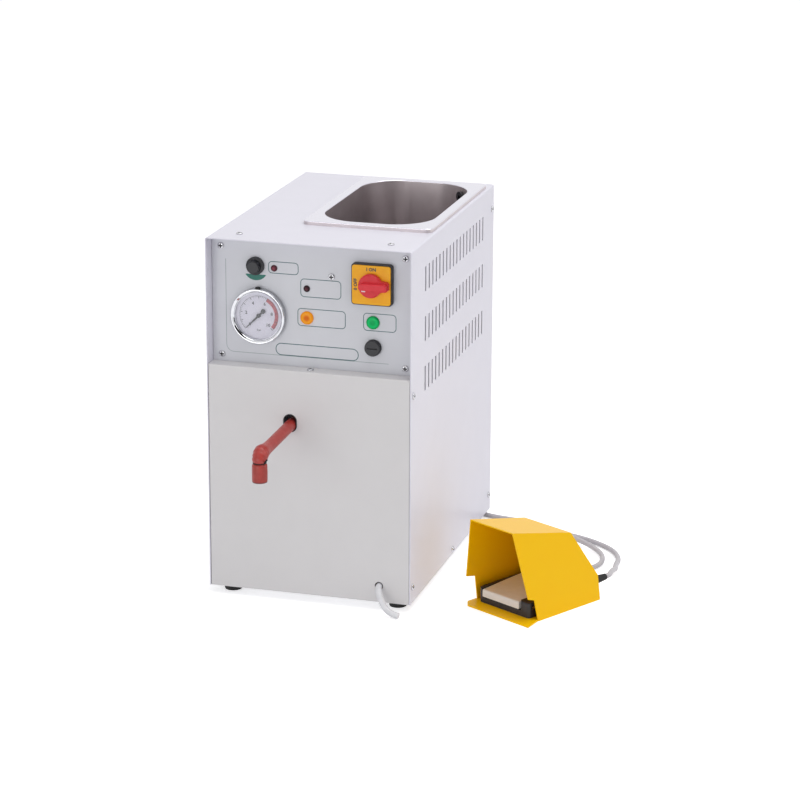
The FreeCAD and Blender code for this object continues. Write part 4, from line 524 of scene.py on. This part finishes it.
NUMBER_RADIUS = 0.0162
for number in range(0, 11, 2):
    place = on_dial(number / 10, NUMBER_RADIUS)
    figure = printed_text("dial_number_" + str(number), str(number), 0.0040, place, ink_black,
                          DIAL_FACE, bold=0.03)
unit = printed_text("dial_unit", "bar", 0.0030, (dial_x, dial_z - 0.0180), ink_black, DIAL_FACE)

# Lamps.
# Round lenses of clear dyed acrylic, moulded with rings inside that spread the light.


def lens(name, edge, between, middle, node):
    """A dyed lens: three tones from its edge to its middle, where the bulb stands, and rings. The tones are partly
    painted light: painted shade at the edge and a painted glow of light through the lens.
    """
    material, tree, surface, coords = start_material(
        name, middle, Roughness=0.2, Specular_IOR_Level=0.12, Coat_Weight=0.06, Coat_Roughness=0.05)
    low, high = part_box(node)
    centre = (low + high) / 2
    width = high.x - low.x
    local = add(tree, "Mapping", {"Vector": coords, "Location": -Vector((centre.x, low.y, centre.z))})
    flat = add(tree, "Mapping", {"Vector": local.outputs[0], "Scale": (2 / width, 0, 2 / width)})
    ball = add(tree, "TexGradient", {"Vector": flat.outputs[0]}, gradient_type="SPHERICAL")
    # The ramp paints the lens's light: painted shade at the edge and a painted glow inside it.
    ramp = add(tree, "ValToRGB", {"Fac": ball.outputs["Fac"]})
    ramp.color_ramp.elements[0].color = srgb(edge)
    ramp.color_ramp.elements[1].color = srgb(middle)
    ramp.color_ramp.elements[1].position = 0.72
    ramp.color_ramp.elements.new(0.38).color = srgb(between)
    tree.links.new(ramp.outputs["Color"], surface.inputs["Base Color"])
    ring_width = 0.0008
    rings = add(tree, "TexWave", {"Vector": local.outputs[0], "Scale": 1 / ring_width / math.tau * 3},
                wave_type="RINGS", rings_direction="Y")
    bump(tree, surface, rings.outputs["Fac"], 0.00005, 0.5)
    paint(material, node)


# Each lens is deeper in tone at its edge, as painted shade, and brighter inside, as a painted glow: the lamps are
# brightest between edge and bulb and deeper over the bulb, the LEDs brightest in the middle.
lens("orange_dyed_acrylic", "F7971A", "FFA828", "E06C0E", "heating_lamp")
lens("green_dyed_acrylic", "009A50", "00CC6C", "00AC5A", "line_lamp")
lens("red_dyed_epoxy", "4E2A34", "663640", "8A404E", "alarm_led")
lens("dark_red_dyed_epoxy", "2C1C22", "3E242C", "5A3038", "tank_empty_led")

# Main switch.
# Yellow and red moulded ABS, glossy, on a black base. The legend is pad printed in black.
yellow_abs = moulded("yellow_glossy_abs", "F5AC0A", "FAB614", 0.34, 0.003, 0.000006)
paint(yellow_abs, "switch_plate")
red_abs = moulded("red_glossy_abs", "D42A36", "E03642", 0.34, 0.003, 0.000006)
paint(red_abs, "switch_handle")
for material in (yellow_abs, red_abs):
    material.node_tree.nodes["Principled BSDF"].inputs["Specular IOR Level"].default_value = 0.3


def softened(name, body, width):
    """A merged copy of a solid of the frame, its bare edges rounded by a width in metres."""
    data = nodes[name].data.copy()
    data.name = name + "_softened"
    shell = bmesh.new()
    shell.from_mesh(data)
    bmesh.ops.remove_doubles(shell, verts=shell.verts, dist=0.00002)
    shell.to_mesh(data)
    shell.free()
    data.polygons.foreach_set("use_smooth", [False] * len(data.polygons))
    piece = bpy.data.objects.new(name + "_softened", data)
    bpy.context.scene.collection.objects.link(piece)
    edge = piece.modifiers.new("edge", "BEVEL")
    edge.width = width
    edge.segments = 2
    edge.limit_method = "ANGLE"
    edge.angle_limit = math.radians(50)
    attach(piece, body)
    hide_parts(name)


softened("switch_plate", "cabinet", 0.0006)
softened("switch_body", "cabinet", 0.0006)
softened("switch_handle", "main_switch", 0.0009)
plate_low, plate_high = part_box("switch_plate")
PLATE_FACE = plate_low.y
switch_x, switch_z = (plate_low.x + plate_high.x) / 2, (plate_low.z + plate_high.z) / 2
# Each legend's name and words, its place from the plate's middle, and its turn.
LEGENDS = (("switch_on", "I ON", 0.0, 0.0188, 0.0),
           ("switch_off", "0 OFF", -0.0192, 0.0, math.pi / 2))
for name, words, across, upward, turn in LEGENDS:
    place = (switch_x + across, switch_z + upward)
    legend = printed_text(name + "_print", words, 0.0040, place, ink_black, PLATE_FACE, turn, bold=0.06)
# A short warm white stroke on the handle's boss.
ink_white, tree, surface, coords = start_material("white_printing_ink", "F2E8E8", Roughness=0.5)
mottle(tree, surface, coords, "EADFDF", "F8F0F0", 0.001)
handle_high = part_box("switch_handle")[1]
BOSS_FACE = handle_high.y - 0.0065
pointer_path = np.array([[switch_x - 0.0100, switch_z - 0.0062], [switch_x - 0.0052, switch_z - 0.0062]])
pointer_band = printed_line(pointer_path, 0.0014, INK, BOSS_FACE, closed=False)
pointer = mesh_piece("handle_pointer_mark", *pointer_band, ink_white, "main_switch", smooth=False)

# Steam pipe.
# A brass pipe in a red silicone hose, with a second, wider piece pushed over its end. The rubber
# is a dull brick red with a broad soft highlight.
silicone = moulded("red_silicone_rubber", "9E2C26", "B23C35", 0.36, 0.0015, 0.00005)
paint(silicone, "pipe_sleeve", "nozzle_sleeve")
sleeve_low, sleeve_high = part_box("pipe_sleeve")
tip_low, tip_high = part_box("nozzle_sleeve")
HOSE_X = (sleeve_low.x + sleeve_high.x) / 2
# The radii of the hose, of its bore and of its bend.
HOSE_R, PIPE_R, BEND_R = 0.0070, 0.00512, 0.0076
DOWN_Y = sleeve_low.y + HOSE_R
FALL = math.radians(1.8)
TIE_Z = tip_high.z + 0.00075


def eased(run, middle, width):
    """A smooth step from nought to one: one over one plus e to the power of (middle - run) / width."""
    return 1 / (1 + np.exp((middle - run) / width))


def bent_hose():
    """The hose's skin, drawn over the pipe. Its centre line falls gently forward, turns down in a
    bend and ends in the end sleeve; at a run s and an angle a round it, the radius is the hose's
    own, more by 2 mm from the bend to the tie, by a bulge of 2.4 mm on the outer side before the
    bend's middle and by puckers 3.1 mm apart about it, and less by a waist where the wire is
    tied. The bore is a plain tube."""
    turn = math.pi / 2 - FALL
    reach = BEND_R * math.tan(turn / 2)
    corner = np.array([DOWN_Y, tip_high.z + 0.0015 + reach])
    start = corner + (sleeve_high.y - DOWN_Y) * np.array([1, math.tan(FALL)])
    first = np.linalg.norm(corner - start) - reach
    arc = BEND_R * turn
    whole = first + arc + corner[1] - reach - (tip_low.z + 0.003)
    straight = np.linspace(0, first - 0.02, 24, endpoint=False)
    s = np.concatenate([straight, np.linspace(first - 0.02, whole, 110)])
    beta = FALL + np.clip((s - first) / BEND_R, 0, turn)
    heading = np.array([-math.cos(FALL), -math.sin(FALL)])
    bend_from = start + first * heading
    hub = bend_from + BEND_R * np.array([math.sin(FALL), -math.cos(FALL)])
    inward = np.stack([np.sin(beta), -np.cos(beta)], 1)
    line = hub - BEND_R * inward
    line += np.minimum(s - first, 0)[:, None] * heading
    line += np.maximum(s - first - arc, 0)[:, None] * np.array([0, -1])
    angle = np.linspace(0, 2 * math.pi, 56, endpoint=False)
    run, a = np.meshgrid(s, angle, indexing="ij")
    crest = first + arc * 0.5 - 0.0010
    tie = first + arc + (corner[1] - reach - TIE_Z)
    outer = np.maximum(np.sin(a), 0)
    swell = eased(run, first - 0.0060, 0.0036) - eased(run, tie, 0.0005)
    radius = HOSE_R + 0.0020 * swell - 0.0001 * (run > tie)
    radius += 0.0024 * outer * eased(run, first - 0.0150, 0.0048) * eased(crest, run, 0.0015)
    puckers = np.sin(math.tau * run / 0.0031) * (0.7 - 0.3 * np.sin(a))
    radius += 0.00045 * np.exp(-((run - crest) / 0.0060) ** 2) * puckers
    radius -= 0.0009 * np.exp(-((run - tie) / 0.0012) ** 2)
    radius += 0.00012 * np.sin(2 * a + run * 90) * swell
    skins = []
    for size, order in ((radius, 1), (np.full_like(radius, PIPE_R), -1)):
        flat = line[:, None, :] - (size * np.sin(a))[:, :, None] * inward[:, None, :]
        skin = np.stack([HOSE_X + size * np.cos(a), flat[:, :, 0], flat[:, :, 1]], -1)
        skins.append(skin[::order])
    points = np.concatenate(skins)
    return points.reshape(-1, 3), grid_faces(len(points), len(angle), close_rows=True, close_columns=True)


hose = mesh_piece("bent_silicone_hose", *bent_hose(), silicone)
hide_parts("pipe_sleeve")
# The end sleeve: bulged a little, its rim rounded and its colour darker towards the bottom edge.
sleeve_red = moulded("red_silicone_end_sleeve", "94291F", "A8362E", 0.4, 0.0015, 0.00005)
tree = sleeve_red.node_tree
surface = tree.nodes["Principled BSDF"]
height = add(tree, "SeparateXYZ", {"Vector": add(tree, "TexCoord").outputs["Object"]}).outputs["Z"]
# Darker red towards the bottom edge, over the sleeve's lowest few millimetres.
darker_at_bottom = add(tree, "MapRange", {"Value": height, "From Min": tip_low.z + 0.0004, "From Max": tip_low.z + 0.0024})
upper_tone = surface.inputs["Base Color"].links[0].from_socket
blend = add(tree, "Mix", {"Factor": darker_at_bottom.outputs[0], 6: srgb("5E2224"), 7: upper_tone}, data_type="RGBA")
tree.links.new(blend.outputs[2], surface.inputs["Base Color"])
tip_loop = [(7.6, 0.3), (8.2, 0.0), (8.8, 0.2), (9.05, 0.9), (9.12, 3), (9.18, 7), (9.2, 12), (9.17, 16), (9.08, 19),
            (8.8, 21.0), (8.2, 22.3), (7.5, 22.9), (7.0, 22.7), (7.02, 12.0), (7.02, 3.4), (7.05, 1.0)]
tip_centre = (HOSE_X, DOWN_Y, tip_low.z)
tip = mesh_piece("end_sleeve", *spun_ring(tip_loop, tip_centre, (1, 0, 0), (0, 1, 0), (0, 0, 1), 64), sleeve_red)
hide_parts("nozzle_sleeve")
# The tie: soft steel wire round the waist, its ends twisted together on the right. It is nearly
# black, with thin bright edges.
wire_steel, tree, surface, coords = start_material("annealed_steel_wire", "3A3436", Metallic=1.0, Roughness=0.4)
mottle(tree, surface, coords, "2C2628", "4A4345", 0.001)
paint(wire_steel, "wire_tie")


def wire(path, radius, closed=False, around=10):
    """A round wire: circles of the radius square to the path, at right angles to a steady side."""
    path = np.asarray(path, float)
    ahead = np.roll(path, -1, 0) - np.roll(path, 1, 0) if closed else np.gradient(path, axis=0)
    ahead /= np.linalg.norm(ahead, axis=1)[:, None]
    side = np.cross(ahead, [0.1, 0.2, 1.0])
    side /= np.linalg.norm(side, axis=1)[:, None]
    over = np.cross(side, ahead)
    a = np.linspace(0, 2 * math.pi, around, endpoint=False)
    ring = radius * (np.cos(a)[None, :, None] * side[:, None] + np.sin(a)[None, :, None] * over[:, None])
    points = (path[:, None] + ring).reshape(-1, 3)
    faces = grid_faces(len(path), around, close_rows=closed, close_columns=True).tolist()
    if not closed:
        final = (len(path) - 1) * around
        faces += [list(range(around))[::-1], [final + k for k in range(around)]]
    return points, faces


loop_turn = np.linspace(0, 2 * math.pi, 64, endpoint=False)
LOOP_R = 0.0078
loop_path = np.stack([HOSE_X + LOOP_R * np.cos(loop_turn), DOWN_Y + LOOP_R * np.sin(loop_turn),
                      np.full(len(loop_turn), TIE_Z)], 1)
strands = [wire(loop_path, 0.0005, closed=True)]
out = np.array([0.52, -0.36, 0.78])
out /= np.linalg.norm(out)
side = np.cross(out, [0, 0, 1])
side /= np.linalg.norm(side)
over = np.cross(side, out)
along = np.linspace(0, 1, 40)[:, None]
knot = np.array([HOSE_X + 0.0074, DOWN_Y - 0.0040, TIE_Z + 0.0004])
TWIST_LENGTH, TWIST_R, TWIST_TURNS = 0.0075, 0.00060, 2.6
for phase in (0, math.pi):
    twist = math.tau * TWIST_TURNS * along + phase
    path = (knot + out * TWIST_LENGTH * along
            + TWIST_R * (np.cos(twist) * side + np.sin(twist) * over))
    strands.append(wire(path, 0.00055))
tie = mesh_piece("twisted_wire", *join_parts(strands), wire_steel)
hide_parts("wire_tie")

# Foot pedal.
# A guard of folded steel, sprayed yellow, over a plastic foot switch with a pale grey treadle.
# The yellow is strong and even, with little gloss; the treadle takes its warm light.
yellow_coat = powder_coat("yellow_polyester_powder_coat", "FFCA00", "FFC500", 0.33, 0.15, 0.0)
paint(yellow_coat, "guard_hood", "guard_plate")
treadle_grey = moulded("pale_grey_abs_treadle", "E8E4E0", "F0ECE8", 0.5, 0.0009, 0.00003)
paint(treadle_grey, "treadle")
softened("guard_hood", "cabinet", 0.0008)
softened("guard_plate", "cabinet", 0.0008)
softened("treadle", "pedal_treadle", 0.0009)
softened("pedal_base", "cabinet", 0.0006)

# Drain hose.
# Clear milky PVC, extruded, 8 mm across, pushed on its spigot behind the panel; open at its end.
# It is pale and smooth, with a narrow highlight along it.


def cord_curve(name, points, radius, material):
    """A round cord on a smooth line steered by its route's points."""
    data = bpy.data.curves.new(name, "CURVE")
    data.dimensions = "3D"
    data.bevel_depth = radius
    data.bevel_resolution = 5
    data.use_fill_caps = True
    spline = data.splines.new("NURBS")
    spline.points.add(len(points) - 1)
    for point, place in zip(spline.points, points):
        point.co = (*place, 1.0)
    spline.order_u = 3
    spline.use_endpoint_u = True
    spline.resolution_u = 8
    data.materials.append(material)
    curve = bpy.data.objects.new(name, data)
    bpy.context.scene.collection.objects.link(curve)
    return curve


hose_pvc = moulded("milky_extruded_pvc", "D9D9DD", "E4E4E8", 0.3, 0.002, 0.00001)
hose_points = [at(*p) for p in (
    (0.0884, 0.0280, 0.0310), (0.0884, 0.0126, 0.0310), (0.0884, -0.0040, 0.0306), (0.0920, -0.0125, 0.0250),
    (0.0995, -0.0185, 0.0130), (0.1085, -0.0215, 0.0056), (0.1195, -0.0230, 0.0041))]
drain_hose = cord_curve("drain_hose_line", hose_points, 0.004, hose_pvc)
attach(drain_hose, "cabinet")
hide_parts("drain_hose")

# Pedal cable.
# Grey PVC cable, 6.4 mm across, from the pedal's strain relief round one loop to the rear gland.
# It is matt, a little darker and warmer than the hose.
cable_pvc = moulded("grey_extruded_pvc", "BCB8BC", "C8C4C8", 0.42, 0.002, 0.00002)
cable_points = [at(*p) for p in (
    (0.33603, 0.14067, 0.0200), (0.33983, 0.14726, 0.0200), (0.3392, 0.1588, 0.0195), (0.3380, 0.1753, 0.0165),
    (0.3376, 0.1967, 0.0109), (0.3315, 0.2222, 0.0063), (0.3303, 0.2526, 0.0034), (0.3168, 0.2821, 0.0034),
    (0.2930, 0.3035, 0.0034), (0.2620, 0.3210, 0.0034),
    (0.2270, 0.3300, 0.0034), (0.1930, 0.3210, 0.0034), (0.1710, 0.2940, 0.0034), (0.1720, 0.2590, 0.0034),
    (0.1950, 0.2320, 0.0034), (0.2300, 0.2130, 0.0034), (0.2660, 0.1980, 0.0034), (0.2960, 0.2000, 0.0036),
    (0.3130, 0.2250, 0.0040), (0.3080, 0.2590, 0.0046), (0.2880, 0.2840, 0.0060), (0.2580, 0.3010, 0.0095),
    (0.2240, 0.3190, 0.0126), (0.1880, 0.3430, 0.0096), (0.1550, 0.3620, 0.0042), (0.1240, 0.3715, 0.0034),
    (0.0980, 0.3900, 0.0034), (0.0760, 0.4160, 0.0060), (0.0560, 0.4340, 0.0200), (0.0410, 0.4330, 0.0430),
    (0.0380, 0.4180, 0.0680), (0.0380, 0.3980, 0.0680))]
pedal_cable = cord_curve("pedal_cable_line", cable_points, 0.0032, cable_pvc)
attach(pedal_cable, "cabinet")
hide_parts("pedal_cable")

# Studio.
# A pale floor, a white surround and four large soft lamps; the camera stands where the
# photograph's did.
scene = bpy.context.scene
scene.view_settings.view_transform = "Standard"
CAMERA_AT = at(1.04005, -3.1955, 1.2619)
AZIMUTH, ELEVATION, ROLL = math.radians(16.142), math.radians(16.609), math.radians(0.214)
camera_data = bpy.data.cameras.new("camera")
camera_data.sensor_width = 36.0
camera_data.lens = 132.52
camera_data.shift_x = -0.00125
camera_data.shift_y = -0.0025
camera_data.clip_start = 0.1
camera_data.clip_end = 60.0
camera = bpy.data.objects.new("camera", camera_data)
scene.collection.objects.link(camera)
back = Vector((math.sin(AZIMUTH) * math.cos(ELEVATION), -math.cos(AZIMUTH) * math.cos(ELEVATION),
               math.sin(ELEVATION)))
level = (-back).cross(Vector((0, 0, 1))).normalized()
upright = back.cross(level)
right = level * math.cos(ROLL) + upright * math.sin(ROLL)
up = upright * math.cos(ROLL) - level * math.sin(ROLL)
camera.matrix_world = Matrix.Translation(CAMERA_AT) @ Matrix((right, up, back)).transposed().to_4x4()
scene.camera = camera


def seen_directly(tree):
    """One where a ray comes from the camera, a reflection or a window, and nought elsewhere."""
    path = add(tree, "LightPath")
    camera_ray, glossy_ray = path.outputs["Is Camera Ray"], path.outputs["Is Glossy Ray"]
    through_ray = path.outputs["Is Transmission Ray"]
    first = add(tree, "Math", {0: camera_ray, 1: glossy_ray}, operation="MAXIMUM")
    return add(tree, "Math", {0: first.outputs[0], 1: through_ray}, operation="MAXIMUM").outputs[0]


world = bpy.data.worlds.new("studio")
scene.world = world
world.use_nodes = True
tree = world.node_tree
tree.nodes.clear()
# The surround is white where it is seen, and half as strong where it only lights the machine.
strength = add(tree, "MapRange", {"Value": seen_directly(tree), "To Min": 0.50, "To Max": 1.0})
background = add(tree, "Background", {"Color": srgb("FFFFFF"), "Strength": strength.outputs[0]})
output = add(tree, "OutputWorld")
tree.links.new(background.outputs[0], output.inputs["Surface"])

floor_data = bpy.data.meshes.new("floor")
wide = 15
floor_data.from_pydata([(-wide, -wide, 0), (wide, -wide, 0), (wide, wide, 0), (-wide, wide, 0)], [],
                       [(0, 1, 2, 3)])
floor = bpy.data.objects.new("floor", floor_data)
scene.collection.objects.link(floor)
# Pale paper that glows a little where it is seen, so that it is white but keeps the shadow.
floor_paper = bpy.data.materials.new("floor_paper")
floor_paper.use_nodes = True
tree = floor_paper.node_tree
tree.nodes.clear()
matt = add(tree, "BsdfDiffuse", {"Color": srgb("EEEEF0")})
glow_share = add(tree, "Math", {0: seen_directly(tree), 1: 0.56}, operation="MULTIPLY")
glow = add(tree, "Emission", {"Color": srgb("FFFFFF"), "Strength": glow_share.outputs[0]})
both = add(tree, "AddShader")
tree.links.new(matt.outputs[0], both.inputs[0])
tree.links.new(glow.outputs[0], both.inputs[1])
output = add(tree, "OutputMaterial")
tree.links.new(both.outputs[0], output.inputs["Surface"])
floor_data.materials.append(floor_paper)


def lamp(name, place, target, size, power):
    """A square soft box that faces a point."""
    data = bpy.data.lights.new(name, "AREA")
    data.shape = "SQUARE"
    data.size = size
    data.energy = power
    light = bpy.data.objects.new(name, data)
    light.matrix_world = (Matrix.Translation(place)
                          @ (Vector(place) - Vector(target)).to_track_quat("Z", "Y").to_matrix().to_4x4())
    scene.collection.objects.link(light)


lamp("lamp_above", (0.6, -0.15, 2.6), (0.0, 0.0, 0.3), 1.8, 27.0)
lamp("lamp_right", (2.4, -0.4, 1.4), (0.0, 0.0, 0.2), 1.4, 8.0)
lamp("lamp_front", (0.5, -3.0, 0.8), (0.0, 0.0, 0.2), 1.6, 1.5)
lamp("lamp_low", (-0.7, -2.2, 0.40), (0.2, -0.1, 0.1), 1.0, 8.0)

# Dark cards, which only reflections show: one up to the right of the camera, one low on the right.
CARDS = (("card_upper", (1.25, -1.5, 1.60), 1.7, "0C0C0E"),
         ("card_low", (2.6, -0.9, 0.45), 1.3, "303034"))
GAUGE_AT = Vector((-0.17, -0.12, 0.35))
for name, place, size, shade in CARDS:
    card_data = bpy.data.meshes.new(name)
    half = size / 2
    card_data.from_pydata([(-half, -half, 0), (half, -half, 0), (half, half, 0), (-half, half, 0)], [],
                          [(0, 1, 2, 3)])
    facing = (Vector(place) - GAUGE_AT).to_track_quat("Z", "Y").to_matrix().to_4x4()
    card_data.transform(Matrix.Translation(place) @ facing)
    card = bpy.data.objects.new(name, card_data)
    scene.collection.objects.link(card)
    card_board = bpy.data.materials.new(name + "_board")
    card_board.use_nodes = True
    card_board.node_tree.nodes.clear()
    paper = add(card_board.node_tree, "Emission", {"Color": srgb(shade), "Strength": 1.0})
    output = add(card_board.node_tree, "OutputMaterial", {"Surface": paper.outputs[0]})
    card_data.materials.append(card_board)
    card.visible_camera = card.visible_diffuse = card.visible_shadow = card.visible_transmission = False
